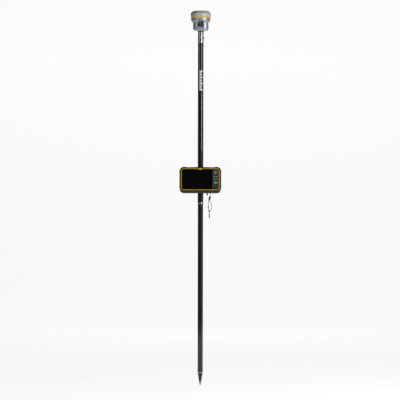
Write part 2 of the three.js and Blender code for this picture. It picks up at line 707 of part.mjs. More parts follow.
export default group([0, 0, 0], 0,
  pole(),
  receiver(),
  bracket(),
  group(lugPosition(), 0, ...lanyard()),
);
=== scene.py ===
"""A satellite survey rover: a rugged tablet on a carbon range pole, with a receiver on the top.

Everything is in the frame's own axes: +Z up the pole, -Y the way the tablet faces.
Sizes are in millimetres until a piece is placed, and metres afterwards.
"""

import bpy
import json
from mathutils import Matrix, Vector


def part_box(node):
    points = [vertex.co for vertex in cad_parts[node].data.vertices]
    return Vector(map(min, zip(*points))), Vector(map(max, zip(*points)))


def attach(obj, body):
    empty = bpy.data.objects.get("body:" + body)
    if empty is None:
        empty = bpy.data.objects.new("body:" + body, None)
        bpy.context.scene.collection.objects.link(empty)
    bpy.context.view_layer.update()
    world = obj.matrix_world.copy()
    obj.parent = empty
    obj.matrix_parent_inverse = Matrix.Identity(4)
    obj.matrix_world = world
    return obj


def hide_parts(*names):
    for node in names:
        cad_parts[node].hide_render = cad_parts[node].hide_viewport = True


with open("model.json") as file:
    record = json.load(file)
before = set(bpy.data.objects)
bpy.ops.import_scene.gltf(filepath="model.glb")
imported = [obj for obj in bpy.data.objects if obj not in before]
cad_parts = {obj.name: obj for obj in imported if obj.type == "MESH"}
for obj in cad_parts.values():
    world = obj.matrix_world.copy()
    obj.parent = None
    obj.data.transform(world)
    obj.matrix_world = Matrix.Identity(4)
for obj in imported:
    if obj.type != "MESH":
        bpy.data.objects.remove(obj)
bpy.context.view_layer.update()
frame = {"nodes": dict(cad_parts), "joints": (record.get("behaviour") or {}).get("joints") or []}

import json
import math

import bpy
import numpy as np
from mathutils import Vector

MM = 0.001
TAU = 2 * math.pi
JOINTS = {joint["name"]: joint for joint in frame["joints"]}


# ---- Where things are ----------------------------------------------------------------------

class Place:
    """A right-handed set of axes: right, up and out, about an origin in metres."""

    def __init__(self, origin, right=(1, 0, 0), up=(0, 1, 0)):
        self.origin = np.array(origin, float)
        self.right = np.array(right, float)
        self.up = np.array(up, float)
        self.out = np.cross(self.right, self.up)

    def points(self, local):
        """Local millimetres as frame metres."""
        local = np.asarray(local, float)
        axes = np.stack([self.right, self.up, self.out])
        return self.origin + (local @ axes) * MM

    def moved(self, right=0.0, up=0.0, out=0.0):
        """The same axes about another point, given in local millimetres."""
        origin = self.points([[right, up, out]])[0]
        return Place(origin, self.right, self.up)


def height_of(node):
    """The lowest and highest level of a node, in millimetres."""
    low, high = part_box(node)
    return low.z / MM, high.z / MM


TILT = math.radians(20)
PIVOT_TO_TABLET = 44
TABLET_X = -1
TABLET_UP = np.array([0, math.sin(TILT), math.cos(TILT)])
TABLET_BACK = np.array([0, math.cos(TILT), -math.sin(TILT)])
PIVOT = np.array(JOINTS["tablet_tilt"]["pos_m"])
PAN = np.array(JOINTS["tablet_pan"]["pos_m"])
LUG_HOLE = np.array(JOINTS["lanyard_swing"]["pos_m"])
TABLET_CENTRE = PIVOT + np.array([TABLET_X, 0, 0]) * MM - PIVOT_TO_TABLET * MM * TABLET_BACK

WORLD = Place((0, 0, 0))
TABLET = Place(TABLET_CENTRE, (1, 0, 0), TABLET_UP)
TABLET_REAR = Place(TABLET_CENTRE, (-1, 0, 0), TABLET_UP)
LANYARD = Place(LUG_HOLE, (1, 0, 0), (0, 0, 1))


# ---- Surfaces ------------------------------------------------------------------------------

def grid_faces(rows, columns, close_rows=False, close_columns=True):
    """Quads between neighbours of a grid of points, numbered row by row."""
    row = np.arange(rows if close_rows else rows - 1)
    column = np.arange(columns if close_columns else columns - 1)
    i, j = np.meshgrid(row, column, indexing="ij")
    next_i, next_j = (i + 1) % rows, (j + 1) % columns
    corners = [i * columns + j, i * columns + next_j, next_i * columns + next_j, next_i * columns + j]
    return np.stack(corners, axis=-1).reshape(-1, 4)


def shell(rings, closed=False):
    """Rings of points joined into a closed skin: a loop of rings, or a stack with both ends capped.

    Returns points and faces. The rings are an array of ring, point and coordinate.
    """
    rows, columns = rings.shape[:2]
    faces = grid_faces(rows, columns, close_rows=closed).tolist()
    if not closed:
        faces.append(list(range(columns))[::-1])
        faces.append(list(range((rows - 1) * columns, rows * columns)))
    return rings.reshape(-1, 3), faces


def gathered(*skins):
    """Several skins as one list of points and one of faces."""
    points, faces, start = [], [], 0
    for skin_points, skin_faces in skins:
        points.append(skin_points)
        faces.extend([[index + start for index in face] for face in skin_faces])
        start += len(skin_points)
    return np.concatenate(points), faces


def linked(name, data):
    """An object of this name in the scene's collection."""
    thing = bpy.data.objects.new(name, data)
    bpy.context.scene.collection.objects.link(thing)
    return thing


def smoothed(mesh, sharp=32):
    """Smooth shading, but for edges sharper than an angle in degrees."""
    mesh.shade_smooth()
    mesh.set_sharp_from_angle(angle=math.radians(sharp))


def round_edges(thing, width):
    """Rounds every edge sharper than 40 degrees, by a width in millimetres."""
    rounding = thing.modifiers.new("rounded_edges", "BEVEL")
    rounding.width = width * MM
    rounding.segments = 3
    rounding.limit_method = "ANGLE"
    rounding.angle_limit = math.radians(40)


def baked(thing):
    """Replaces the object's mesh by the one its modifiers make, and clears them."""
    graph = bpy.context.evaluated_depsgraph_get()
    whole = bpy.data.meshes.new_from_object(thing.evaluated_get(graph))
    thing.modifiers.clear()
    old = thing.data
    thing.data = whole
    bpy.data.meshes.remove(old)
    whole.name = thing.name
    smoothed(whole)
    return whole


def piece(name, skins, material, body, replaces=None, sharp=32, bevel=0):
    """A mesh object from skins in metres, smooth except at edges sharper than an angle."""
    points, faces = gathered(*skins)
    mesh = bpy.data.meshes.new(name)
    mesh.from_pydata(points.tolist(), [], faces)
    mesh.update()
    smoothed(mesh, sharp)
    mesh.materials.append(material)
    thing = linked(name, mesh)
    if bevel:
        round_edges(thing, bevel)
    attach(thing, body)
    if replaces:
        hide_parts(replaces)
    return thing


def rounded_corners(corners, closed=True, steps=5):
    """A line through [a, b, radius] corners, each one an arc that touches both its sides."""
    count = len(corners)
    line = []
    for index, (a, b, radius) in enumerate(corners):
        here = np.array([a, b], float)
        at_end = not closed and index in (0, count - 1)
        if radius == 0 or at_end:
            line.append(here)
            continue
        before = np.array(corners[index - 1][:2], float) - here
        after = np.array(corners[(index + 1) % count][:2], float) - here
        before /= np.linalg.norm(before)
        after /= np.linalg.norm(after)
        half = math.acos(np.clip(before @ after, -1, 1)) / 2
        middle = before + after
        centre = here + middle / np.linalg.norm(middle) * radius / math.sin(half)
        start = here + before * radius / math.tan(half) - centre
        end = here + after * radius / math.tan(half) - centre
        turn = math.atan2(start[0] * end[1] - start[1] * end[0], start @ end)
        for angle in np.linspace(0, turn, steps + 1):
            cosine, sine = math.cos(angle), math.sin(angle)
            line.append(centre + [cosine * start[0] - sine * start[1], sine * start[0] + cosine * start[1]])
    return np.array(line)


def revolved(corners, place=WORLD, closed=False, sides=96, steps=5):
    """A line of [radius, height, rounding] corners turned once about the place's outward axis."""
    line = rounded_corners(corners, closed, steps)
    angle = np.arange(sides) * TAU / sides
    radius, height = line[:, :1], line[:, 1:2]
    rings = np.stack([
        radius * np.cos(angle), radius * np.sin(angle), height + 0 * angle,
    ], axis=-1)
    return shell(place.points(rings.reshape(-1, 3)).reshape(rings.shape), closed)


def outline(width, height, corner, lower=None, bulge=0.0, sides=10, corners=8):
    """A rectangle with round corners, whose sides bow out by a parabola, anticlockwise from below."""
    lower = corner if lower is None else lower
    x, y = width / 2, height / 2
    radii = [lower, corner, corner, lower]
    middles = [(x - lower, lower - y), (x - corner, y - corner), (corner - x, y - corner), (lower - x, lower - y)]
    starts = [-math.pi / 2, 0, math.pi / 2, math.pi]
    arcs = []
    for radius, (middle_x, middle_y), start in zip(radii, middles, starts):
        angle = start + np.linspace(0, math.pi / 2, corners + 1)
        arcs.append(np.stack([middle_x + radius * np.cos(angle), middle_y + radius * np.sin(angle)], axis=-1))
    outward = [(1, 0), (0, 1), (-1, 0), (0, -1)]
    line = []
    for arc, following, away in zip(arcs, arcs[1:] + arcs[:1], outward):
        along = np.linspace(0, 1, sides + 1)[1:-1, None]
        bow = 4 * along * (1 - along) * bulge * np.array(away)
        line.append(arc)
        line.append(arc[-1] * (1 - along) + following[0] * along + bow)
    return np.concatenate(line)


def circle(radius, count=48):
    """Points at equal angles round a circle, anticlockwise."""
    angle = np.arange(count) * TAU / count
    return np.stack([radius * np.cos(angle), radius * np.sin(angle)], axis=-1)


def stacked(levels, place, closed=False):
    """Outlines at heights, as (outline, height) pairs with equal counts of points, joined in turn."""
    rings = np.stack([
        np.column_stack([line, np.full(len(line), float(height))]) for line, height in levels
    ])
    return shell(place.points(rings.reshape(-1, 3)).reshape(rings.shape), closed)


def arc_levels(inset, start, end, steps=4):
    """A quarter round from a wall to a top: (inset, height) pairs that end at the full inset."""
    angle = np.linspace(0, math.pi / 2, steps + 1)
    return [(inset * (1 - math.cos(a)), start + (end - start) * math.sin(a)) for a in angle]


def block(width, height, corner, bottom, top, place, edge=0.8, foot=0.0, crown=0.0):
    """A slab with round corners and a rounded upper edge, whose top can rise to a low crown."""
    def line(inset):
        rounding = max(corner - inset, 0.05)
        return outline(width - 2 * inset, height - 2 * inset, rounding, sides=4, corners=6)
    levels = []
    if foot:
        levels.extend([(line(inset), bottom + foot - rise) for inset, rise in arc_levels(foot, 0, foot)[::-1]])
    else:
        levels.append((line(0), bottom))
    levels.extend([(line(inset), height_here) for inset, height_here in arc_levels(edge, top - edge, top)])
    if crown:
        face = line(edge)
        levels.extend([(face * scale, top + crown * (1 - scale ** 2)) for scale in (0.8, 0.55, 0.3, 0.05)])
    return stacked(levels, place)


def disc(radius, bottom, top, place, edge=0.6, crown=0.0, sides=48):
    """A round button, with a rounded upper edge and a top that can rise to a crown."""
    corners = [(radius, bottom, 0), (radius, top, edge), (0.02, top + crown, 0)]
    if crown:
        corners = [(radius, bottom, 0), (radius, top, edge), (radius * 0.5, top + crown * 0.75, radius * 0.4),
                   (0.02, top + crown, 0)]
    return revolved(corners, place, sides=sides, steps=4)


def wire_loop(path, radius, sides=16):
    """A round section carried round a closed line of points in metres, kept square to the line."""
    tangent = np.roll(path, -1, axis=0) - np.roll(path, 1, axis=0)
    tangent /= np.linalg.norm(tangent, axis=1, keepdims=True)
    fixed = np.array([0.0, 1.0, 0.0]) if abs(tangent[:, 1]).max() < 0.9 else np.array([1.0, 0.0, 0.0])
    side = np.cross(tangent, fixed)
    side /= np.linalg.norm(side, axis=1, keepdims=True)
    upper = np.cross(side, tangent)
    angle = np.arange(sides) * TAU / sides
    section = np.cos(angle)[:, None] * upper[:, None] + np.sin(angle)[:, None] * side[:, None]
    rings = path[:, None] + radius * MM * section
    return shell(rings[:, ::-1], closed=True)


def screw(place, radius=2.0, height=1.1, socket=0.55):
    """A button-head screw with a six-sided socket: circles that shrink into a hexagon, and go down it."""
    count = 36
    round_line = circle(1, count)
    angle = np.arange(count) * TAU / count
    hexagon = round_line * (math.cos(math.pi / 6) / np.cos(angle % (TAU / 6) - math.pi / 6))[:, None]
    top = height * 0.92
    levels = [
        (round_line * radius, -0.3), (round_line * radius, height * 0.3), (round_line * radius * 0.94, height * 0.62),
        (round_line * radius * 0.8, height * 0.86), (round_line * radius * (socket + 0.08), height),
        (hexagon * radius * socket, top), (hexagon * radius * socket, height * 0.25),
    ]
    return stacked(levels, place)


# ---- Finishes ------------------------------------------------------------------------------

class Finish:
    """A material whose nodes are added one at a time and feed its principled shader."""

    def __init__(self, name, colour, roughness, metallic=0.0, **sockets):
        self.material = bpy.data.materials.new(name)
        self.material.use_nodes = True
        self.tree = self.material.node_tree
        self.shader = self.tree.nodes["Principled BSDF"]
        self.feed(self.shader.inputs["Base Color"], (*colour, 1))
        self.feed(self.shader.inputs["Roughness"], roughness)
        self.feed(self.shader.inputs["Metallic"], metallic)
        for socket, value in sockets.items():
            self.feed(self.shader.inputs[socket.replace("_", " ")], value)

    def feed(self, socket, value):
        """Links an input to another socket, or gives it a value."""
        if isinstance(value, bpy.types.NodeSocket):
            self.tree.links.new(value, socket)
        else:
            socket.default_value = value

    def add(self, kind, inputs=(), **properties):
        """A shader node of this kind, with its properties set and its inputs fed."""
        node = self.tree.nodes.new("ShaderNode" + kind)
        for key, value in properties.items():
            setattr(node, key, value)
        for key, value in dict(inputs).items():
            self.feed(node.inputs[key], value)
        return node

    def place(self):
        """The object coordinates."""
        return self.add("TexCoord").outputs["Object"]

    def math(self, operation, *values):
        """One arithmetic step on numbers or sockets."""
        node = self.add("Math", operation=operation)
        for socket, value in zip(node.inputs, values):
            self.feed(socket, value)
        return node.outputs[0]

    def axes(self):
        """The object coordinates, one by one."""
        split = self.add("SeparateXYZ", {"Vector": self.place()})
        return split.outputs[0], split.outputs[1], split.outputs[2]

    def noise(self, scale, detail=3.0, stretch=(1, 1, 1)):
        """Noise of a scale in steps per metre, stretched along the axes."""
        stretched = self.add("Mapping", {"Vector": self.place(), "Scale": stretch})
        inputs = {"Vector": stretched.outputs[0], "Scale": scale, "Detail": detail}
        return self.add("TexNoise", inputs).outputs["Fac"]

    def spread(self, value, low, high, start=0.3, end=0.7):
        """A value between two limits, carried to the range from low to high."""
        inputs = {"Value": value, "From Min": start, "From Max": end, "To Min": low, "To Max": high}
        return self.add("MapRange", inputs).outputs[0]

    def blend(self, factor, first, second):
        """A colour between two others, by a factor."""
        node = self.add("Mix", data_type="RGBA")
        self.feed(node.inputs[0], factor)
        self.feed(node.inputs[6], (*first, 1) if isinstance(first, tuple) else first)
        self.feed(node.inputs[7], (*second, 1) if isinstance(second, tuple) else second)
        return node.outputs[2]

    def colour(self, value):
        """Feeds the surface its colour."""
        self.feed(self.shader.inputs["Base Color"], value)

    def roughness(self, value):
        """Feeds the surface its roughness."""
        self.feed(self.shader.inputs["Roughness"], value)

    def relief(self, height, depth, under=None):
        """Bumps of a depth in millimetres, over others if there are any."""
        inputs = {"Height": height, "Distance": depth * MM, "Strength": 1.0}
        if under:
            inputs["Normal"] = under
        normal = self.add("Bump", inputs).outputs[0]
        self.feed(self.shader.inputs["Normal"], normal)
        return normal


def scaled(colour, factor):
    """A colour with each channel multiplied by a factor."""
    return tuple(channel * factor for channel in colour)


def carbon_twill(name, tows, width, deep, light):
    """Two-by-two twill wound round the pole's axis under a clear coat: tows cross over and under, with painted sheen.
    """
    finish = Finish(name, deep, 0.42, Specular_IOR_Level=0.15, Coat_Weight=0.9, Coat_Roughness=0.06, Coat_IOR=1.5)
    x, y, z = finish.axes()
    around = finish.math("MULTIPLY", finish.math("ARCTAN2", y, x), tows / TAU)
    along = finish.math("DIVIDE", z, width * MM)
    cells = finish.math("ADD", finish.math("FLOOR", around), finish.math("FLOOR", along))
    step = finish.math("FLOORED_MODULO", cells, 4.0)
    over = finish.math("LESS_THAN", step, 1.5)
    across_tow = finish.math("SINE", finish.math("MULTIPLY", finish.math("FRACT", around), math.pi))
    along_tow = finish.math("SINE", finish.math("MULTIPLY", finish.math("FRACT", along), math.pi))
    warp = finish.math("MULTIPLY", over, across_tow)
    weft = finish.math("MULTIPLY", finish.math("SUBTRACT", 1.0, over), along_tow)
    crown = finish.math("ADD", warp, weft)
    # Painted sheen: the tows that lie on top are paler, and each tow is paler along its rounded crest, as if catching
    # the light.
    painted_sheen = finish.math("ADD", finish.math("MULTIPLY", over, 0.35), finish.math("MULTIPLY", crown, 0.5))
    strands = finish.spread(finish.noise(2600, 2.0, (1, 1, 0.08)), -0.12, 0.12)
    finish.colour(finish.blend(finish.math("ADD", painted_sheen, strands), deep, light))
    finish.roughness(finish.spread(finish.noise(60, 4.0), 0.36, 0.5))
    finish.relief(crown, 0.05)
    return finish.material


def turned_metal(name, colour, roughness, groove=0.25, wear=0.15):
    """Bright turned metal with fine rings about the pole's axis, and faint rubbing."""
    finish = Finish(name, colour, roughness, 1.0)
    rings = finish.noise(1 / (groove * MM), 2.0, (0.02, 0.02, 1))
    rubbed = finish.noise(90, 5.0)
    finish.colour(finish.blend(finish.spread(rubbed, 0.0, 1.0), scaled(colour, 1 - wear), colour))
    finish.roughness(finish.spread(rings, roughness * 0.8, roughness * 1.3))
    finish.relief(rings, 0.02)
    return finish.material


def blasted_metal(name, colour, roughness, grain=0.12):
    """Anodised metal with a fine blasted grain and slight clouds of tone."""
    finish = Finish(name, colour, roughness, 1.0)
    fine = finish.noise(1 / (grain * MM), 2.0)
    cloud = finish.noise(45, 4.0)
    finish.colour(finish.blend(finish.spread(cloud, 0.0, 1.0), scaled(colour, 0.82), scaled(colour, 1.12)))
    finish.roughness(finish.spread(fine, roughness * 0.9, roughness * 1.15))
    finish.relief(fine, 0.008)
    return finish.material


def moulded_plastic(name, colour, roughness, grain=0.35, depth=0.02, tone=0.08, **sockets):
    """Moulded plastic with a spark-eroded grain over a slow unevenness."""
    finish = Finish(name, colour, roughness, **sockets)
    fine = finish.noise(1 / (grain * MM), 3.0)
    slow = finish.noise(28, 4.0)
    finish.colour(finish.blend(finish.spread(slow, 0.0, 1.0), scaled(colour, 1 - tone), scaled(colour, 1 + tone)))
    finish.roughness(finish.spread(slow, roughness - 0.05, roughness + 0.06))
    finish.relief(fine, depth, finish.relief(slow, depth * 2))
    return finish.material


def worn_rubber(name, colour, roughness=0.62, dust=0.05):
    """Matt rubber with a fine pebble, paler where dust has rubbed in."""
    finish = Finish(name, colour, roughness, Specular_IOR_Level=0.2)
    pebble = finish.noise(1900, 2.0)
    patches = finish.noise(38, 6.0)
    paler = tuple(channel + dust for channel in colour)
    finish.colour(finish.blend(finish.spread(patches, 0.0, 0.6, 0.45, 0.75), colour, paler))
    finish.roughness(finish.spread(patches, roughness - 0.06, roughness + 0.12))
    finish.relief(pebble, 0.03)
    return finish.material


def tarnished_steel():
    """Hardened steel, brown where it has weathered and bright at the very point."""
    weathered = (0.17, 0.115, 0.08)
    finish = Finish("tarnished_steel", weathered, 0.42, 1.0)
    _, _, z = finish.axes()
    stain = finish.noise(330, 5.0)
    browned = finish.blend(finish.spread(stain, 0.0, 1.0), scaled(weathered, 0.45), (0.33, 0.25, 0.19))
    height = finish.spread(z, 0.0, 1.0, 0.001, 0.007)
    finish.colour(finish.blend(height, (0.52, 0.48, 0.44), browned))
    finish.roughness(finish.spread(stain, 0.3, 0.55))
    finish.relief(finish.noise(1500, 3.0, (1, 1, 0.3)), 0.03)
    return finish.material


def display_glass(width, height, offset):
    """Black cover glass: a slightly greyer display behind it, and faint smears on it."""
    border, lit = (0.0004, 0.0005, 0.0005), (0.0009, 0.0011, 0.0010)
    finish = Finish("display_glass", border, 0.05)
    moved = finish.add("VectorMath", {0: finish.place(), 1: tuple(TABLET_CENTRE)}, operation="SUBTRACT")
    turned = finish.add("Mapping", {"Vector": moved.outputs[0], "Rotation": (TILT, 0, 0)})
    split = finish.add("SeparateXYZ", {"Vector": turned.outputs[0]})
    from_middle = finish.math("ABSOLUTE", finish.math("SUBTRACT", split.outputs[0], offset * MM))
    within_x = finish.math("LESS_THAN", from_middle, width / 2 * MM)
    within_z = finish.math("LESS_THAN", finish.math("ABSOLUTE", split.outputs[2]), height / 2 * MM)
    finish.colour(finish.blend(finish.math("MULTIPLY", within_x, within_z), border, lit))
    finish.roughness(finish.spread(finish.noise(22, 7.0, (1, 1, 0.5)), 0.03, 0.16, 0.5, 0.8))
    return finish.material


def braided_cord(name, colour):
    """A braid: two diagonal waves that cross."""
    finish = Finish(name, colour, 0.8, Sheen_Weight=0.3, Sheen_Roughness=0.5)
    waves = []
    for angle in (0.9, -0.9):
        turned = finish.add("Mapping", {"Vector": finish.place(), "Rotation": (0, angle, 0)})
        wave = finish.add("TexWave", {"Vector": turned.outputs[0], "Scale": 420.0, "Distortion": 0.3})
        waves.append(wave.outputs["Fac"])
    weave = finish.math("MAXIMUM", *waves)
    finish.colour(finish.blend(weave, scaled(colour, 0.45), scaled(colour, 1.5)))
    finish.relief(weave, 0.12)
    return finish.material


def circuit_board():
    """Solder mask with paler tracks in a fine blocky pattern."""
    finish = Finish("circuit_board", (0.012, 0.1, 0.045), 0.4)
    blocks = finish.add("TexVoronoi", {"Vector": finish.place(), "Scale": 260.0}, distance="CHEBYCHEV")
    tracks = finish.math("LESS_THAN", blocks.outputs["Distance"], 0.18)
    finish.colour(finish.blend(tracks, (0.012, 0.1, 0.045), (0.04, 0.22, 0.09)))
    return finish.material


CARBON = carbon_twill("carbon_twill", 48, 1.96, (0.0015, 0.0014, 0.001), (0.013, 0.012, 0.009))
BRIGHT_RING = turned_metal("bright_ring", (0.42, 0.42, 0.41), 0.34)
STEEL = turned_metal("polished_steel", (0.6, 0.6, 0.6), 0.2)
TIP_STEEL = tarnished_steel()
ADAPTER_METAL = turned_metal("adapter_metal", (0.34, 0.35, 0.37), 0.3)
GREY_METAL = blasted_metal("grey_anodised", (0.17, 0.175, 0.19), 0.42)
BLACK_METAL = blasted_metal("black_anodised", (0.03, 0.031, 0.034), 0.45)
BLACK_PLASTIC = moulded_plastic("black_plastic", (0.007, 0.007, 0.008), 0.42)
COVER_PLASTIC = moulded_plastic("cover_plastic", (0.026, 0.026, 0.028), 0.5, grain=0.5, depth=0.035)
HOUSING = moulded_plastic("silver_grey_housing", (0.42, 0.445, 0.49), 0.42, depth=0.012, tone=0.04,
                          Metallic=0.55)
RADOME = moulded_plastic("radome_shell", (0.58, 0.57, 0.535), 0.36, depth=0.01, tone=0.025,
                         Subsurface_Weight=0.06, Subsurface_Radius=(0.01, 0.009, 0.007))
ACCENT = moulded_plastic("yellow_band", (0.90, 0.58, 0.02), 0.38, depth=0.01, tone=0.04)
BEZEL = moulded_plastic("yellow_bezel", (0.50, 0.31, 0.003), 0.4, depth=0.012, tone=0.05)
BADGE = moulded_plastic("yellow_badge", (0.78, 0.50, 0.004), 0.25, depth=0.006, tone=0.03, Coat_Weight=0.5)
PANEL = moulded_plastic("slate_panel", (0.035, 0.041, 0.052), 0.34, depth=0.01)
KEY_PANEL = moulded_plastic("key_panel_plastic", (0.032, 0.033, 0.035), 0.45)
RUBBER = worn_rubber("bumper_rubber", (0.017, 0.016, 0.018), dust=0.015)
SOFT_RUBBER = worn_rubber("cap_rubber", (0.016, 0.016, 0.017), dust=0.015)
KEY_GREY = worn_rubber("grey_keys", (0.085, 0.088, 0.092), 0.5, 0.03)
KEY_GREEN = worn_rubber("green_key", (0.04, 0.72, 0.38), 0.45, 0.02)
LEGEND = moulded_plastic("key_legends", (0.62, 0.64, 0.64), 0.5, depth=0.004, tone=0.03)
GRADUATION = moulded_plastic("graduation_paint", (0.88, 0.88, 0.86), 0.45, depth=0.01, tone=0.04)
BATTERY = moulded_plastic("battery_plastic", (0.02, 0.02, 0.021), 0.46)
LENS = moulded_plastic("dark_lens", (0.004, 0.004, 0.006), 0.06, depth=0.001, tone=0.1, Coat_Weight=1.0)
LIGHT_CLEAR = moulded_plastic("status_light", (0.35, 0.42, 0.36), 0.2, depth=0.002, tone=0.05, Coat_Weight=1.0)
GLASS = display_glass(151, 94.5, -20.7)
CORD = braided_cord("braided_cord", (0.014, 0.014, 0.015))
BOARD = circuit_board()
CERAMIC = moulded_plastic("antenna_ceramic", (0.62, 0.56, 0.42), 0.6)
ROCKER = worn_rubber("grey_rocker", (0.15, 0.155, 0.16), 0.45, 0.03)
DIM_LIGHT = moulded_plastic("dim_light", (0.10, 0.11, 0.10), 0.2, depth=0.002, tone=0.05, Coat_Weight=1.0)
DISPLAY_BACK = blasted_metal("display_back", (0.3, 0.3, 0.31), 0.5)


# ---- Camera, light and floor ---------------------------------------------------------------

def make_camera(distance=20.0, pitch=1.0, lens=317.0, aim=(-0.0032, 0.0, 1.0545), roll=-0.1):
    """A far camera that looks slightly down, rolled by a hair. Angles are in degrees."""
    camera = linked("camera", bpy.data.cameras.new("camera"))
    angle = math.radians(pitch)
    camera.location = Vector(aim) + distance * Vector((0, -math.cos(angle), math.sin(angle)))
    camera.rotation_euler = (math.pi / 2 - angle, math.radians(roll), 0)
    camera.data.lens = lens
    camera.data.clip_end = 100
    bpy.context.scene.camera = camera


def make_light(name, position, aim, size, power):
    """A rectangular soft box that faces a point."""
    lamp = bpy.data.lights.new(name, "AREA")
    lamp.shape = "RECTANGLE"
    lamp.size, lamp.size_y = size
    lamp.energy = power
    light = linked(name, lamp)
    light.location = position
    light.rotation_euler = (Vector(aim) - Vector(position)).to_track_quat("-Z", "Y").to_euler()


def make_sky(strength):
    """White light from every side, of a given strength."""
    world = bpy.data.worlds.new("studio_air")
    world.use_nodes = True
    background = world.node_tree.nodes["Background"]
    background.inputs["Color"].default_value = (1, 1, 1, 1)
    background.inputs["Strength"].default_value = strength
    bpy.context.scene.world = world


def make_floor(half_width=3.4, front=-2.5, back=5.0, rise=5.0, curve=2.0, glow=0.8):
    """A pale glowing floor that sweeps up into a backdrop along a quarter circle."""
    angle = np.linspace(0, math.pi / 2, 17)
    y = np.concatenate([[front], back + curve * np.sin(angle), [back + curve]])
    z = np.concatenate([[0], curve * (1 - np.cos(angle)), [rise]])
    rows = np.stack([
        np.column_stack([np.full(len(y), side), y, z]) for side in (-half_width, half_width)
    ], axis=1)
    mesh = bpy.data.meshes.new("floor")
    faces = grid_faces(len(y), 2, close_columns=False)
    mesh.from_pydata(rows.reshape(-1, 3).tolist(), [], faces.tolist())
    mesh.shade_smooth()
    pale = Finish("pale_floor", (0.4, 0.4, 0.4), 0.9)
    pale.feed(pale.shader.inputs["Emission Color"], (1, 1, 1, 1))
    pale.feed(pale.shader.inputs["Emission Strength"], glow)
    # From behind, the sweep lets everything through, so that it never hides the object.
    behind = pale.add("NewGeometry").outputs["Backfacing"]
    clear = pale.add("BsdfTransparent").outputs[0]
    seen = pale.add("MixShader", {0: behind, 1: pale.shader.outputs[0], 2: clear}).outputs[0]
    output = next(node for node in pale.tree.nodes if node.type == "OUTPUT_MATERIAL")
    pale.feed(output.inputs["Surface"], seen)
    mesh.materials.append(pale.material)
    linked("floor", mesh)


bpy.context.scene.view_settings.view_transform = "Standard"
make_camera()
make_sky(0.05)
make_floor()
make_light("key_light", (3.4, -3.4, 2.4), (0, 0, 1.8), (0.9, 2.4), 135)
make_light("streak_light", (3.3, -3.4, 1.0), (0, 0, 1.0), (0.4, 2.0), 12)
make_light("fill_light", (-4.0, -4.0, 3.0), (0, 0, 1.9), (0.8, 1.8), 40)


# ---- The lanyard's cords -------------------------------------------------------------------

# Points of each cord, as [right, up] in millimetres from the middle of the lug's hole.
LEFT_ROUTE = [
    [-7.7, -35.4], [-8.9, -42], [-10.4, -54], [-10.8, -68], [-10.8, -77], [-11, -86], [-10.4, -92],
    [-9.1, -96.3],
]
RIGHT_ROUTE = [
    [-3.7, -36.5], [-2, -42], [5.2, -54], [6.6, -68], [6.3, -79], [4.6, -88], [-1.5, -92.4],
    [-5.7, -95.5], [-5.9, -100], [-5.9, -106], [-5.9, -113.7],
]
CORD_DIAMETER = 2.9


def smooth_route(points, steps):
    """A centripetal curve through the points: each span is found by repeated straight blends."""
    route = np.array([[x, 0.0, z] for x, z in points])
    route = np.vstack([2 * route[0] - route[1], route, 2 * route[-1] - route[-2]])
    line = []
    for before, start, end, after in zip(route, route[1:], route[2:], route[3:]):
        spans = [np.linalg.norm(b - a) ** 0.5 for a, b in ((before, start), (start, end), (end, after))]
        t0, t1, t2, t3 = np.concatenate([[0], np.cumsum(spans)])
        t = np.linspace(t1, t2, steps + 1)[:-1, None]
        first = before * (t1 - t) / (t1 - t0) + start * (t - t0) / (t1 - t0)
        second = start * (t2 - t) / (t2 - t1) + end * (t - t1) / (t2 - t1)
        third = end * (t3 - t) / (t3 - t2) + after * (t - t2) / (t3 - t2)
        early = first * (t2 - t) / (t2 - t0) + second * (t - t0) / (t2 - t0)
        late = second * (t3 - t) / (t3 - t1) + third * (t - t1) / (t3 - t1)
        line.append(early * (t2 - t) / (t2 - t1) + late * (t - t1) / (t2 - t1))
    return np.concatenate(line + [route[-2:-1]]) * MM + LUG_HOLE


def make_cord(name, node, points):
    """A cord along its route, with the CAD nodes that sit on it."""
    line = smooth_route(points, 4)
    curve = bpy.data.curves.new(name, "CURVE")
    curve.dimensions = "3D"
    curve.bevel_depth = CORD_DIAMETER / 2 * MM
    curve.bevel_resolution = 5
    curve.use_fill_caps = True
    spline = curve.splines.new("POLY")
    spline.points.add(len(line) - 1)
    spline.points.foreach_set("co", np.column_stack([line, np.ones(len(line))]).ravel())
    spline.use_smooth = True
    curve.materials.append(CORD)
    thing = linked(name, curve)
    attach(thing, "lanyard")
    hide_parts(node)


make_cord("lanyard_cord_left", "cord_left", LEFT_ROUTE)
make_cord("lanyard_cord_right", "cord_right", RIGHT_ROUTE)


# ---- Shared small things -------------------------------------------------------------------

def carved(thing, *cutters):
    """Cuts closed skins out of the piece."""
    cutting = []
    for index, (points, faces) in enumerate(cutters):
        mesh = bpy.data.meshes.new(f"{thing.name}_cutter_{index}")
        mesh.from_pydata(points.tolist(), [], faces)
        cutter = linked(mesh.name, mesh)
        cut = thing.modifiers.new(mesh.name, "BOOLEAN")
        cut.operation = "DIFFERENCE"
        cut.solver = "EXACT"
        cut.object = cutter
        cutting.append(cutter)
    baked(thing)
    for cutter in cutting:
        bpy.data.objects.remove(cutter)


def refined(node, name, material, body, bevel=0.8):
    """A copy of a CAD node's own shape with its edges rounded."""
    mesh = frame["nodes"][node].data.copy()
    mesh.name = name
    thing = linked(name, mesh)
    weld = thing.modifiers.new("weld", "WELD")
    weld.merge_threshold = 0.002 * MM
    flatten = thing.modifiers.new("flatten", "DECIMATE")
    flatten.decimate_type = "DISSOLVE"
    flatten.angle_limit = math.radians(1)
    whole = baked(thing)
    whole.materials.clear()
    whole.materials.append(material)
    round_edges(thing, bevel)
    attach(thing, body)
    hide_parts(node)


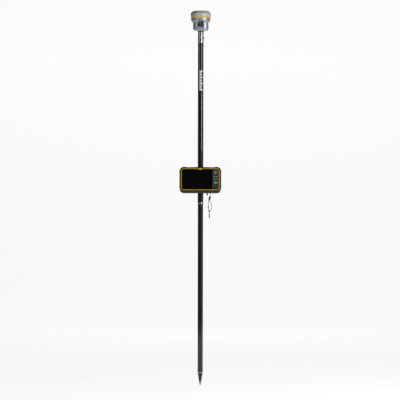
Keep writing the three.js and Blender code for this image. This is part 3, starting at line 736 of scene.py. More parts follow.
def lobed(radius, lobes, dip, bottom, top, place, edge=1.5):
    """A hand knob: a circle whose radius dips between lobes by a cosine, with rounded edges."""
    angle = np.arange(144) * TAU / 144
    wave = radius - dip * (1 - np.cos(lobes * angle)) / 2
    unit = np.stack([np.cos(angle), np.sin(angle)], axis=-1)
    rise = arc_levels(edge, 0, edge)
    levels = [(unit * (wave - inset)[:, None], bottom + edge - height) for inset, height in rise[::-1]]
    levels.extend([(unit * (wave - inset)[:, None], top - edge + height) for inset, height in rise])
    levels.append((unit * (radius * 0.5), top - 0.2))
    levels.append((unit * (radius * 0.45), top - 1.2))
    levels.append((unit * 0.3, top - 1.2))
    return stacked(levels, place)


# ---- The pole ------------------------------------------------------------------------------

TUBE_BORE = 13.2
LOWER_RADIUS = 15.0
UPPER_RADIUS = 15.875
KEYWAY_TOP = 1027
LOCK_LEVEL = 1020


def make_tip():
    """The steel point, its collar and its holder: each is one profile turned about the pole's axis."""
    point = revolved([
        (0.05, 0, 0), (1, 0, 0.15), (2.7, 5.2, 6), (4.05, 11.5, 6), (4.5, 15, 2), (4.5, 17.3, 0.3),
        (3, 17.3, 0), (3, 45, 0.5), (0.05, 45, 0),
    ], sides=64)
    piece("steel_point", [point], TIP_STEEL, "pole_lower", "tip_point")
    collar = revolved([
        (3.4, 17.6, 0), (7.1, 17.6, 0.4), (7.85, 18.6, 0.4), (7.85, 21.2, 0.2), (7.3, 21.7, 0.2),
        (7.3, 22.5, 0.2), (7.85, 23, 0.2), (7.85, 26, 0.4), (7.2, 26.7, 0.3), (3.4, 26.7, 0),
    ], closed=True, sides=64)
    piece("point_collar", [collar], BRIGHT_RING, "pole_lower", "tip_collar")
    holder = revolved([
        (3.4, 27, 0), (6.6, 27, 0.5), (7.6, 30.5, 4), (9, 40, 30), (10.65, 52, 30), (11.7, 59.5, 0.6),
        (11.2, 60.3, 0.4), (11.3, 61.3, 0.4), (12.2, 62, 0.6), (14.2, 69.3, 2), (14.5, 71.3, 0.4),
        (12.9, 71.3, 0), (12.9, 110, 0.5), (3.4, 110, 0),
    ], closed=True)
    piece("point_holder", [holder], BLACK_PLASTIC, "pole_lower", "tip_cone")


def grooved_ring(outer, bottom, top, grooves, groove_depth=0.45):
    """A ring on the tube's bore with chamfered ends and round-bottomed grooves between them."""
    corners = [(TUBE_BORE, bottom, 0), (outer - 0.6, bottom, 0.1), (outer, bottom + 0.6, 0.2)]
    pitch = (top - bottom) / (grooves + 1)
    for index in range(grooves):
        level = bottom + pitch * (index + 1)
        corners.extend([
            (outer, level - 0.7, 0.2), (outer - groove_depth, level - 0.3, 0.15),
            (outer - groove_depth, level + 0.3, 0.15), (outer, level + 0.7, 0.2),
        ])
    corners.extend([(outer, top - 0.6, 0.2), (outer - 0.6, top, 0.1), (TUBE_BORE, top, 0)])
    return revolved(corners, closed=True, sides=128)


def make_rings():
    """The three ferrules: the grooved profile at each ring's own height."""
    rings = [
        ("lower_ferrule", "lower_ring", "pole_lower", 14.75, 1),
        ("joint_ferrule", "joint_ring", "pole_upper", UPPER_RADIUS, 2),
        ("top_ferrule", "top_ring", "pole_upper", UPPER_RADIUS, 1),
    ]
    for name, node, body, outer, grooves in rings:
        bottom, top = height_of(node)
        skin = grooved_ring(outer, bottom, top, grooves)
        piece(name, [skin], BRIGHT_RING, body, node)


def make_tube(name, node, body, radius):
    """A tube: a thin wall with small chamfers at its outer ends, turned about the pole's axis."""
    bottom, top = height_of(node)
    levels = [
        (TUBE_BORE, bottom, 0), (radius - 0.4, bottom, 0), (radius, bottom + 0.4, 0.2),
        (radius, top - 0.4, 0.2), (radius - 0.4, top, 0), (TUBE_BORE, top, 0),
    ]
    skin = revolved(levels, closed=True, sides=128)
    return piece(name, [skin], CARBON, body, node)


LOCK_BUTTON = Place((3.4 * MM, 0, LOCK_LEVEL * MM), (1, 0, 0), (0, 0, 1))


def make_lock_button():
    """A crowned pad with round corners, and two short ribs across it."""
    button = [
        block(8, 10, 3.8, 9, 17, LOCK_BUTTON, edge=1.0, crown=0.5),
        block(5, 1, 0.4, 16, 17.7, LOCK_BUTTON.moved(up=1.6), edge=0.3),
        block(5, 1, 0.4, 16, 17.7, LOCK_BUTTON.moved(up=-1.6), edge=0.3),
    ]
    piece("lock_button_cap", button, GREY_METAL, "lock_button", "lock_button")


def make_spigot():
    """The inner sleeve: a turned wall with tapered ends, and a keyway cut down its front."""
    bottom, top = height_of("joint_spigot")
    skin = revolved([
        (10.4, bottom, 0), (12.3, bottom, 0.2), (12.9, bottom + 1.2, 0.5), (12.9, top - 1.2, 0.5),
        (12.3, top, 0.2), (10.4, top, 0),
    ], closed=True)
    spigot = piece("section_spigot", [skin], GREY_METAL, "pole_upper", "joint_spigot")
    low = bottom - 20
    keyway = LOCK_BUTTON.moved(up=(low + KEYWAY_TOP) / 2 - LOCK_LEVEL)
    carved(spigot, block(10, KEYWAY_TOP - low, 0.5, 2, 20, keyway))


def painted_bar(middle, width, bottom, top, radius, lift=0.14):
    """A patch of paint round part of a tube: a thin upright rectangle carried round by an angle."""
    turn = np.linspace(middle - width / 2, middle + width / 2, 13) / radius
    corners = [(radius - 0.2, bottom), (radius + lift, bottom), (radius + lift, top), (radius - 0.2, top)]
    rings = np.stack([
        np.column_stack([reach * np.sin(turn), -reach * np.cos(turn), np.full(len(turn), level)])
        for reach, level in corners
    ], axis=1)
    return shell(rings * MM)


def make_graduations():
    """A column of plain painted bars of three widths on the front of the upper tube."""
    widths = [18, 9, 13, 9, 18, 9, 13, 9, 18, 9, 13, 9, 18]
    bottom, pitch, left, tall = 1679.0, 8.9, -6.5, 6.4
    skins = [
        painted_bar(left + width / 2, width, bottom + index * pitch - tall / 2, bottom + index * pitch + tall / 2,
                    UPPER_RADIUS)
        for index, width in enumerate(widths)
    ]
    skins.append(painted_bar(left + 1.2, 2.4, bottom, bottom + 12 * pitch, UPPER_RADIUS, 0.13))
    piece("height_graduations", skins, GRADUATION, "pole_upper")


def make_adapter():
    """The adapter: one turned profile with grooves, a ribbed button in a cut hole, and a set screw."""
    bottom, top = height_of("adapter")
    skin = revolved([
        (0.05, bottom, 0), (12.3, bottom, 0), (12.9, bottom + 1, 0.3), (12.9, 1953.3, 0), (15.4, 1953.3, 0.1),
        (16, 1953.9, 0.3), (16, 1959.6, 0.3), (15.3, 1960.3, 0.2), (15.3, 1961.3, 0.2), (16, 1962, 0.3),
        (16, 1985.5, 0.3), (15.2, 1986.3, 0.3), (15.2, 1989.2, 0.3), (16, 1990, 0.3), (16, 1994, 0.3),
        (15.2, 1994.8, 0.3), (15.2, 1997.7, 0.3), (16, 1998.5, 0.3), (16, top - 0.7, 0.3), (15.3, top, 0.1),
        (9, top, 0.2), (8.3, top - 0.7, 0.1), (8.3, 1981, 0), (0.05, 1981, 0),
    ])
    adapter = piece("pole_adapter", [skin], ADAPTER_METAL, "pole_upper", "adapter")
    side = Place((0, 0, 1.974), (0, 1, 0), (0, 0, 1))
    carved(adapter, disc(5.8, 6, 20, side, edge=0.1))
    rim = revolved([(5.85, 14.9, 0), (7.0, 14.9, 0), (6.8, 16.4, 0.3), (5.85, 16.4, 0.2)], side, True, 48)
    piece("release_button_rim", [rim], BLACK_METAL, "pole_upper")
    cap = [disc(5.5, 9, 18.6, side, edge=1.0, crown=0.4)]
    cap += [block(7.5, 0.7, 0.3, 18, 19.1, side.moved(up=level), edge=0.25) for level in (-2, 0, 2)]
    piece("release_button_cap", cap, BLACK_METAL, "release_button", "release_button")
    grub = screw(Place((0.0157, 0, 1.9572), (0, 1, 0), (0, 0, 1)), 2.1, 1.0)
    piece("adapter_set_screw", [grub], BLACK_METAL, "pole_upper")


make_tip()
make_rings()
lower_tube = make_tube("carbon_tube_lower", "lower_tube", "pole_lower", LOWER_RADIUS)
carved(lower_tube, block(8.6, 10.6, 4.1, 8, 20, LOCK_BUTTON))
make_tube("carbon_tube_upper", "upper_tube", "pole_upper", UPPER_RADIUS)
make_lock_button()
make_spigot()
make_graduations()
make_adapter()


# ---- The receiver --------------------------------------------------------------------------

FRONT = Place((0, 0, 2.0535), (1, 0, 0), (0, 0, 1))
BACK = Place((0, 0, 2.050), (-1, 0, 0), (0, 0, 1))


def make_radome():
    """A domed cap: one turned profile that goes up the inside and down the outside."""
    bottom = height_of("radome")[0]
    skin = revolved([
        (0.4, 2126.3, 0), (39, 2125, 6), (48.4, 2117, 5), (54, 2109, 5), (54.6, bottom, 0), (56.6, bottom, 0.2),
        (57.1, bottom + 0.6, 0.3), (57.6, 2105, 12), (57.6, 2109.5, 6), (56.6, 2113.8, 6),
        (52, 2119.4, 8), (46, 2124.8, 6), (40.8, 2127.5, 10), (24, 2128.7, 60), (0.4, 2129, 0),
    ], sides=160, steps=8)
    piece("radome_shell", [skin], RADOME, "receiver", "radome")


def make_accent():
    """A ring turned about the axis, with rounded outer edges."""
    bottom, top = height_of("accent_ring")
    skin = revolved([
        (50, bottom, 0), (55.6, bottom, 0.2), (56.3, bottom + 0.8, 0.4), (56.3, top - 0.8, 0.4),
        (55.6, top, 0.2), (50, top, 0),
    ], closed=True, sides=160)
    piece("yellow_band", [skin], ACCENT, "receiver", "accent_ring")


def housing_line(half, corner):
    """A square outline whose two front corners are rounder than the two at the back."""
    fullest = half * 0.985
    return outline(2 * half, 2 * half, min(corner, fullest), min(corner + 10, fullest), sides=8, corners=14)


def make_housing():
    """A square body with round corners that swells into a circle, hollow, and open at its top."""
    outside = [
        (2014.6, 36.6, 15), (2015.1, 37.8, 16), (2018.5, 40.3, 17), (2022.5, 41.8, 17), (2026, 42.2, 17),
        (2051.5, 42.2, 17), (2055, 42.6, 19), (2058.5, 43.8, 23), (2062, 46, 31), (2065.5, 49.3, 41),
        (2069, 52.3, 50), (2072.5, 54.1, 54), (2076, 55, 55), (2083, 55.5, 55.5), (2085.4, 55.5, 55.5),
        (2086, 55, 55),
    ]
    inside = [
        (2086, 52.6, 52), (2076, 52, 51), (2070, 49, 47), (2063, 43, 31), (2058, 39.6, 18), (2050, 39.4, 14),
        (2018, 39, 14), (2017.6, 38.4, 13.6),
    ]
    levels = [(housing_line(half, corner), height) for height, half, corner in outside + inside]
    housing = piece("receiver_housing", [stacked(levels, WORLD)], HOUSING, "receiver",
                    "lower_housing")
    window = block(30.6, 33.6, 3.2, 42.3, 70, FRONT)
    slot = block(66.6, 22.6, 0.6, 30, 60, BACK.moved(up=-21))
    ports = [revolved([(5.3, 30, 0), (5.3, 60, 0)], BACK.moved(right=x), sides=48) for x in (-20, 20)]
    carved(housing, window, slot, *ports)


def make_front_panel():
    """A slab with round corners, a turned button in a cut hole, three lights and three bars."""
    plate = block(30, 33, 3, 42.5, 44.9, FRONT, edge=0.5)
    panel = piece("control_panel", [plate], PANEL, "receiver", "front_panel")
    button_place = FRONT.moved(up=-9.5)
    carved(panel, revolved([(3.8, 40, 0), (3.8, 50, 0)], button_place, sides=48))
    rim = revolved([(3.85, 44.4, 0), (5.3, 44.4, 0), (4.9, 45.3, 0.2), (3.85, 45.3, 0.2)], button_place, True, 48)
    piece("power_button_rim", [rim], GREY_METAL, "receiver")
    cap = disc(3.5, 43.5, 46, button_place, edge=0.5, crown=0.2)
    piece("power_button_cap", [cap], KEY_GREY, "receiver_power_button", "receiver_power_button")
    lights = [disc(1.15, 44.6, 45.3, FRONT.moved(-8, up), edge=0.3, crown=0.25, sides=24)
              for up in (10.5, 5.5, 0.5)]
    piece("panel_status_lights", lights, LIGHT_CLEAR, "receiver")
    marks = [block(9 - 2 * index, 1.1, 0.4, 44.8, 45.02, FRONT.moved(1.5 - index, 10.5 - 5 * index), edge=0.08)
             for index in range(3)]
    piece("panel_marks", marks, LEGEND, "receiver")


def make_side_strips():
    """A soft pad with round corners on each side, and six ribs across it."""
    for side, node in ((-1, "side_strip_left"), (1, "side_strip_right")):
        low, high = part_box(node)
        middle = (low + high) / 2
        # The strip's outward axis points away from the pole on its own side.
        place = Place((side * 0.0425, 0, middle.z), (0, side, 0), (0, 0, 1))
        skins = [block(36, 29.5, 5, 0, 0.9, place, edge=0.4)]
        skins += [block(30, 2.2, 1, 0.5, 1.5, place.moved(up=level), edge=0.5) for level in np.arange(-10, 11, 4)]
        piece(f"grip_{node}", skins, RUBBER, "receiver", node)


def make_base():
    """The socket under the housing in one turned profile, and four screws at the housing's corners."""
    skin = revolved([
        (0.05, 1982, 0), (7.1, 1982, 0.1), (7.9, 1982.8, 0.2), (7.9, 2004, 0.3), (7.3, 2004.6, 0.2),
        (7.3, 2006.4, 0.2), (7.9, 2007, 0.2), (7.9, 2009.3, 0), (17.6, 2009.3, 0.8), (19, 2010.7, 0.5),
        (19, 2014.3, 0.2), (0.05, 2014.3, 0),
    ], sides=96)
    piece("base_socket_collar", [skin], BLACK_PLASTIC, "receiver", "base_collar")
    under = [Place((x * MM, y * MM, 2.0146), (1, 0, 0), (0, -1, 0)) for x in (-27, 27) for y in (-27, 27)]
    piece("housing_screws", [screw(place, 2.4, 0.9) for place in under], BLACK_METAL, "receiver")


def make_port_caps():
    """Two soft caps: a disc, the plug behind it and a pull bar across it."""
    for x, node in ((20, "port_cap_left"), (-20, "port_cap_right")):
        place = BACK.moved(right=x)
        skins = [
            disc(7, 42.5, 44.6, place, edge=0.8, sides=48),
            block(9, 2.2, 1, 44, 45.5, place, edge=0.7),
            disc(5, 39, 43, place, edge=0.3, sides=48),
        ]
        piece(f"sealed_{node}", skins, SOFT_RUBBER, node, node)


def make_receiver_battery():
    """A slab with rounded edges, a groove cut across it, and a ribbed latch."""
    low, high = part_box("receiver_battery")
    place = Place((0, 0, (low.z + high.z) / 2), (-1, 0, 0), (0, 0, 1))
    pack = block(66, 22, 2.5, -29.5, 41.9, place, edge=0.6, foot=1.0)
    latch = [block(22, 7, 2, 40, 42.9, place.moved(up=3), edge=0.6)]
    latch += [block(18, 0.8, 0.3, 42.5, 43.4, place.moved(up=3 + level), edge=0.3) for level in (-2, 0, 2)]
    battery = piece("receiver_battery_pack", [pack], BATTERY, "receiver_battery", "receiver_battery")
    carved(battery, block(30, 3, 1.4, 40, 60, place.moved(up=-6)))
    piece("receiver_battery_latch", latch, GREY_METAL, "receiver_battery")


make_radome()
make_accent()
make_housing()
make_front_panel()
make_side_strips()
make_base()
make_port_caps()
make_receiver_battery()


# ---- The bracket ---------------------------------------------------------------------------

def round_bar(radius, low, high, place, edge=0.5):
    """A solid bar along the place's outward axis, with rounded ends."""
    return revolved([(0.05, low, 0), (radius, low, edge), (radius, high, edge), (0.05, high, 0)], place, sides=48)


def upright_bar(radius, low, high, at, edge=0.5):
    """A round bar along +Z."""
    return round_bar(radius, low, high, Place(at), edge)


def cross_bar(radius, low, high, at, edge=0.5):
    """A round bar along +X."""
    return round_bar(radius, low, high, Place(at, (0, 1, 0), (0, 0, 1)), edge)


def make_clamp():
    """The jaw and its pad keep their CAD shape; the pin is made of bars, and the knob is lobed."""
    refined("clamp_body", "clamp_jaw", BLACK_METAL, "clamp", 1.0)
    refined("clamp_pad", "clamp_cushion", SOFT_RUBBER, "clamp_pad", 0.6)
    pin = [upright_bar(3, -23, 21.5, PAN), upright_bar(5, 21.2, 23.3, PAN, 0.6)]
    piece("swivel_pin", pin, STEEL, "clamp", "pan_pin")
    knob_place = Place((0, 0, PAN[2]), (-1, 0, 0), (0, 0, 1))
    knob = [
        lobed(15, 6, 2.6, 38.5, 52, knob_place),
        revolved([(0.05, 20.6, 0), (4, 20.6, 0.6), (4, 36.5, 0.1), (8, 36.5, 0.5), (8, 39, 0.2), (0.05, 39, 0)],
                 knob_place, sides=48),
    ]
    piece("clamp_hand_knob", knob, BLACK_PLASTIC, "clamp_knob", "clamp_knob")
    insert = revolved([(0.05, 50, 0), (5, 50, 0), (5, 51.6, 0.4), (0.05, 51.6, 0)], knob_place, sides=48)
    piece("clamp_knob_insert", [insert], STEEL, "clamp_knob")


def make_fork():
    """An upright bar and a cross bar, joined by a slab with round corners."""
    web = block(12, 14, 2.5, 8, 20, Place(PAN, (1, 0, 0), (0, 0, 1)).moved(out=-7), edge=0.5)
    skins = [upright_bar(6.5, -14.7, 14.7, PAN, 1.0), cross_bar(8, -8.7, 8.7, PIVOT, 1.0), web]
    piece("swivel_arm", skins, GREY_METAL, "swivel", "swivel_fork")


def make_head():
    """The channel keeps its CAD shape; a bar with a lobed knob crosses it, and a stepped pull is beside it."""
    refined("head_plate", "dovetail_channel", BLACK_METAL, "head", 0.7)
    bolt = [cross_bar(3, -16, 28, PIVOT), cross_bar(6, -19, -15.3, PIVOT, 0.6), cross_bar(6, 15.3, 29, PIVOT, 0.6)]
    side = Place(PIVOT, (0, 1, 0), (0, 0, 1))
    bolt.append(lobed(10, 5, 1.8, 28, 37, side, 1.2))
    piece("tilt_hand_knob", bolt, BLACK_PLASTIC, "tilt_knob", "tilt_knob")
    at = PIVOT - 17 * MM * TABLET_BACK
    plunger = [cross_bar(3, 22.6, 31, at, 0.5), cross_bar(5, 30, 35, at, 0.8), cross_bar(4.2, 29, 30.5, at, 0.2)]
    piece("plunger_pull", plunger, STEEL, "release_plunger", "release_plunger")


make_clamp()
make_fork()
make_head()


# ---- The tablet ----------------------------------------------------------------------------

# Levels of the caps above the middle of the tablet, and places of its larger features.
KEY_BASE, KEY_TOP = 13.7, 19
BATTERY_SIDES = (-78, 78)
OPENING = (209.8, 121.8, 9)
TRAY_INSIDE = (214.2, 126.2, 11)
TRAY_CORNER = 15
BADGE_UP = 61.6
FLANK = {side: Place(TABLET_CENTRE, -side * TABLET.out, TABLET_UP) for side in (-1, 1)}
ALONG_UP = Place(TABLET_CENTRE, (1, 0, 0), TABLET_BACK)
SILO_X, SILO_DEPTH = 39.6, 4.0
LUG_X = 56.6
TRAY_SIZE = (219.6, 131.6)
BACK_RIM = (230, 145, 21)

# Each key: the middle, the size and the corner radius of its cap.
KEYS = {
    "function_key_1": (79, 15, 10.6, 8, 2), "function_key_2": (92, 15, 10.6, 8, 2),
    "function_key_3": (79, 2, 10.6, 8, 2), "function_key_4": (92, 2, 10.6, 8, 2),
    "home_key": (85.5, -10, 8.4, 8.4, 4.1), "enter_key": (85.5, -21.4, 21, 6.4, 3),
}
DPAD_X, DPAD_UP = 85.9, 40.8


def eased(value):
    """A smooth step from nought to one."""
    value = np.clip(value, 0, 1)
    return value * value * (3 - 2 * value)


def bumper_line(inset):
    """The band's outline, standing further out at each corner, and how far each point is on a corner.

    Between the corners the band bows out by a parabola, and it rises to a corner pad in 2.5 mm.
    """
    line = outline(236 - 2 * inset, 150 - 2 * inset, 24 - inset, 35 - inset, sides=76, corners=16)
    x, y = line.T
    on_top, on_side = np.abs(y) > 60, np.abs(x) > 105
    pad = np.where(on_top & ~on_side, eased((np.abs(x) - 77.5) / 2.5), 1.0)
    pad = np.where(on_side & ~on_top, eased((np.abs(y) - 39.5) / 2.5), pad)
    bow_y = 72.5 - inset + 2 * (1 - np.clip(np.abs(x) / 90, 0, 1) ** 2)
    bow_x = 115.5 - inset + 2 * (1 - np.clip(np.abs(y - 4) / 44, 0, 1) ** 2)
    band_x = np.where(on_side & ~on_top, np.sign(x) * bow_x, x)
    band_y = np.where(on_top & ~on_side, np.sign(y) * bow_y, y)
    return np.column_stack([band_x + (x - band_x) * pad, band_y + (y - band_y) * pad]), pad


def make_bumper():
    """A rubber band round the tray, with rounded edges and pads that stand proud at the corners."""
    opening = outline(TRAY_SIZE[0] + 0.6, TRAY_SIZE[1] + 0.6, 15.3, sides=76, corners=16)
    rings = []
    for inset, height in [(2.4, -14), (1.4, -13.6), (0.4, -12.6), (0, -11), (0, 5), (0.3, 11), (1.0, 15),
                          (1.9, 16.9), (2.7, 17.7), (3.4, 18)]:
        line, pad = bumper_line(inset)
        rings.append(np.column_stack([line, height + pad * (height > 5)]))
    rings.append(np.column_stack([opening, 17.6 + pad]))
    rings.append(np.column_stack([opening, np.full(len(opening), -14.0)]))
    points = TABLET.points(np.concatenate(rings)).reshape(len(rings), -1, 3)
    bumper = piece("rugged_bumper", [shell(points, closed=True)], RUBBER, "tablet", "tablet_bumper")
    hole = revolved([(4.4, -90, 0), (4.4, -60, 0)], ALONG_UP.moved(SILO_X, SILO_DEPTH), sides=40)
    notch = block(11, 20, 1, -20, -6, TABLET.moved(LUG_X, -82))
    carved(bumper, hole, notch)
    doors = []
    for side, flank in FLANK.items():
        for up, length in ((14, 38), (-22, 22)):
            doors.append(block(13, length, 3, 115.5, 118, flank.moved(side * 2.0, up), edge=0.7))
    piece("port_doors", doors, SOFT_RUBBER, "tablet")
    ribs = []
    for side, flank in FLANK.items():
        ribs += [block(22, 2.2, 1, 117.2, 118.6, flank.moved(side * -1.0, level), edge=0.5)
                 for level in (45.5, 49.5, -39.5, -34)]
    for x in (-40, 40):
        top = Place(TABLET.points([[x, 0, 0]])[0], (1, 0, 0), -TABLET.out)
        ribs += [block(2.2, 20, 1, 73.0, 74.9, top.moved(offset), edge=0.5) for offset in (-6, -2, 2, 6)]
    piece("bumper_ribs", ribs, RUBBER, "tablet")


def make_bezel():
    """A frame between two rounded rectangles with quarter-round edges, and a blank badge shaped like a lens."""
    outer, inner = (*TRAY_SIZE, TRAY_CORNER), OPENING

    def line(size, inset):
        width, height, corner = size
        return outline(width - 2 * inset, height - 2 * inset, corner - inset, sides=6, corners=12)
    levels = [(line(outer, 0), 10.3)]
    levels += [(line(outer, inset), height) for inset, height in arc_levels(1.3, 17.1, 18.4)]
    levels += [(line(inner, -inset), height) for inset, height in arc_levels(1.2, 17.4, 18.4)[::-1]]
    levels += [(line(inner, 0), 10.3)]
    piece("yellow_front_bezel", [stacked(levels, TABLET, closed=True)], BEZEL, "tablet", "front_bezel")
    angle = np.arange(64) * TAU / 64
    # A lens: each side is a parabola across the badge's width.
    x = np.cos(angle)
    lens = np.column_stack([15 * x, 4.75 * np.sign(np.sin(angle)) * (1 - x * x)])
    levels = [(lens * scale + [0, BADGE_UP], height) for scale, height in
              ((1, 18), (1, 18.9), (0.97, 19.1), (0.9, 19.25), (0.5, 19.4), (0.05, 19.45))]
    piece("bezel_badge", [stacked(levels, TABLET)], BADGE, "tablet")


def raised(line, bottom, top, place):
    """An outline carried straight out."""
    return stacked([(line, bottom), (line, top)], place)


def make_front():
    """The cover glass and the key panel: outlines carried straight out, with openings cut for the keys."""
    glass = [(-104.6, -60.6, 8.7), (67, -60.6, 0.5), (67, 60.6, 0.5), (-104.6, 60.6, 8.7)]
    sheet = raised(rounded_corners(glass, steps=10), 15.6, 17.6, TABLET)
    piece("cover_glass", [sheet], GLASS, "tablet", "screen_glass", bevel=0.3)
    face = [(67.3, -60.6, 0.5), (104.6, -60.6, 8.7), (104.6, 60.6, 8.7), (67.3, 60.6, 0.5)]
    plate = raised(rounded_corners(face, steps=10), 14.6, 17.6, TABLET)
    panel = piece("keypad_panel", [plate], KEY_PANEL, "tablet", "key_panel", bevel=0.4)
    holes = [block(width + 0.6, height + 0.6, corner + 0.3, 10, 25, TABLET.moved(x, up), edge=0.05)
             for x, up, width, height, corner in KEYS.values()]
    holes.append(disc(10.9, 10, 25, TABLET.moved(DPAD_X, DPAD_UP), sides=64))
    carved(panel, *holes)
    camera = [disc(2.3, 17.2, 17.7, TABLET.moved(-20.7, 55.6), edge=0.1),
              disc(0.8, 17.2, 17.7, TABLET.moved(-28.7, 55.6), edge=0.1, sides=24)]
    piece("front_camera_window", camera, LENS, "tablet")
    lights = [disc(0.9, 17.2, 17.75, TABLET.moved(DPAD_X + x, up), edge=0.2, crown=0.15, sides=20)
              for up in (-33, -41) for x in (-8, 0, 8)]
    piece("keypad_status_lights", lights, DIM_LIGHT, "tablet")
    slots = [block(1.1, 7, 0.5, 17.45, 17.75, TABLET.moved(DPAD_X + x, -51), edge=0.1) for x in
             np.arange(-9, 10, 3)]
    piece("speaker_slots", slots, LENS, "tablet")


def polygon(count, radius, turn=0.0):
    """A regular polygon turned about its middle."""
    return circle(radius, count) @ np.array([[math.cos(turn), math.sin(turn)], [-math.sin(turn), math.cos(turn)]])


def loop(outer, inner, bottom, top, place):
    """A flat frame between two outlines of equal count."""
    levels = [(outer, bottom), (outer, top), (inner, top), (inner, bottom)]
    return stacked(levels, place, closed=True)


def key_marks(name, place):
    """A plain sign for each key: bars, a frame, a ring or a triangle."""
    low, high = 18.85, 19.22
    if name == "function_key_1":
        return [block(6.4, 1.2, 0.3, low, high, place.moved(up=level), edge=0.05) for level in (-1.5, 1.5)]
    if name == "function_key_2":
        outer = outline(6, 4.6, 1, sides=2, corners=3)
        inner = outline(4, 2.6, 0.4, sides=2, corners=3)
        return [loop(outer, inner, low, high, place)]
    if name == "function_key_3":
        return [raised(polygon(3, 2.9, math.pi), low, high, place)]
    if name == "function_key_4":
        return [block(1.4, 1.4, 0.5, low, high, place.moved(x), edge=0.05) for x in (-2.6, 0, 2.6)]
    if name == "home_key":
        return [loop(circle(2.7, 32), circle(1.6, 32), low, high, place)]
    return [block(4.6, 0.8, 0.3, low, high, place.moved(0.7), edge=0.05),
            raised(polygon(3, 1.4, math.pi), low, high, place.moved(-2.2))]


def make_keys():
    """Each key is a crowned slab with a sign on it; the rocker is a turned ring with four triangles."""
    for name, (x, up, width, height, corner) in KEYS.items():
        place = TABLET.moved(x, up)
        green = name == "enter_key"
        cap = block(width, height, corner, KEY_BASE, KEY_TOP, place, edge=0.7, crown=0.12)
        piece(f"{name}_cap", [cap], KEY_GREEN if green else KEY_GREY, name, name)
        piece(f"{name}_mark", key_marks(name, place), LEGEND, name)
    place = TABLET.moved(DPAD_X, DPAD_UP)
    rocker = revolved([
        (4.6, KEY_BASE, 0), (10.6, KEY_BASE, 0), (10.6, 18.6, 0.6), (9.2, 19.25, 0.8), (6.2, 18.7, 1.5),
        (5.2, 18.5, 0.4), (4.6, 17.6, 0),
    ], place, closed=True, sides=96)
    piece("direction_rocker", [rocker], ROCKER, "direction_pad", "direction_pad")
    arrows = []
    for quarter in range(4):
        turn = quarter * TAU / 4
        at = place.moved(7.6 * math.cos(turn), 7.6 * math.sin(turn))
        arrows.append(raised(polygon(3, 1.5, turn), 18.7, 19.3, at))
    piece("rocker_arrows", arrows, LEGEND, "direction_pad")
    piece("select_cap", [disc(4.3, KEY_BASE, 19.2, place, edge=0.7, crown=0.2)], KEY_GREY, "select_key", "select_key")
    piece("select_mark", [disc(0.9, 19.2, 19.45, place, edge=0.1, sides=24)], LEGEND, "select_key")


def make_rear():
    """A tray that is open to the front, with a wider back, two battery wells and a tube for the stylus."""
    def line(width, height, corner, inset=0.0):
        return outline(width - 2 * inset, height - 2 * inset, corner - inset, sides=6, corners=10)
    tray, wide, inner = (*TRAY_SIZE, TRAY_CORNER), BACK_RIM, TRAY_INSIDE
    levels = [(line(*inner), 16.2), (line(*inner), -10), (line(*tray), -10), (line(*tray), 14.4), (line(*wide), 14.4)]
    levels += [(line(*wide, inset), height) for inset, height in arc_levels(2.2, 16.4, 19)]
    levels += [(line(*wide, inset), 19) for inset in (20, 45, 69)]
    skin = piece("rear_shell", [stacked(levels, TABLET_REAR)], COVER_PLASTIC, "tablet", "rear_cover")
    wells = [block(54.6, 80.6, 2.6, 8.7, 30, TABLET_REAR.moved(x), edge=0.1) for x in BATTERY_SIDES]
    silo = revolved([(3.6, -90, 0), (3.6, 35, 0)], ALONG_UP.moved(SILO_X, SILO_DEPTH), sides=40)
    carved(skin, *wells, silo)
    lined = []
    for x in BATTERY_SIDES:
        place = TABLET_REAR.moved(x)
        outer, cup = outline(58, 84, 4, sides=4, corners=6), outline(54.5, 80.5, 2.5, sides=4, corners=6)
        lined.append(stacked([(outer, 7.4), (outer, 17), (cup, 17), (cup, 8.9)], place))
    tube_place = ALONG_UP.moved(SILO_X, SILO_DEPTH)
    lined.append(revolved([(3.6, -63.5, 0), (6, -63.5, 0), (6, 38, 0.5), (0.05, 38, 0), (0.05, 35, 0), (3.6, 35, 0)],
                          tube_place, sides=40))
    lug = block(6.8, 12, 3.2, 15.2, 17.6, TABLET_REAR.moved(-LUG_X, -73.4), edge=0.5, foot=0.5)
    lined.append(lug)
    inside = piece("rear_wells_and_lug", lined, COVER_PLASTIC, "tablet")
    carved(inside, revolved([(2.3, 5, 0), (2.3, 30, 0)], TABLET_REAR.moved(-LUG_X, -76), sides=40))
    ribs = [block(38, 1.6, 0.7, 18.8, 19.7, TABLET_REAR.moved(0, up), edge=0.4) for up in np.arange(-56, -30, 5)]
    ribs += [block(58, 2.2, 1, 18.8, 19.8, TABLET_REAR.moved(x, up), edge=0.5)
             for x in BATTERY_SIDES for up in (-46, 46)]
    piece("rear_ribs", ribs, COVER_PLASTIC, "tablet")
    corners = [(x, up) for x in (-104, 104) for up in (-60, 60)] + [(x, up) for x in (-42, 42) for up in (-62, 62)]
    piece("rear_screws", [screw(TABLET_REAR.moved(x, up, 18.9), 2.2, 0.9) for x, up in corners], STEEL, "tablet")
    rim = [revolved([(4.6, 18.8, 0), (6.4, 18.8, 0), (6.1, 20.2, 0.4), (4.6, 20.2, 0.3)],
                    TABLET_REAR.moved(-24, 52), True, 64),
           block(22, 13, 6, 18.6, 19.4, TABLET_REAR.moved(-20, 52), edge=0.5)]
    piece("rear_camera_rim", rim, BLACK_METAL, "tablet")
    lens = [disc(4.7, 18.6, 19.7, TABLET_REAR.moved(-24, 52), edge=0.1, crown=0.1),
            disc(1.5, 19.2, 19.7, TABLET_REAR.moved(-13.5, 52), edge=0.2, sides=24)]
    piece("rear_camera_window", lens, LENS, "tablet")


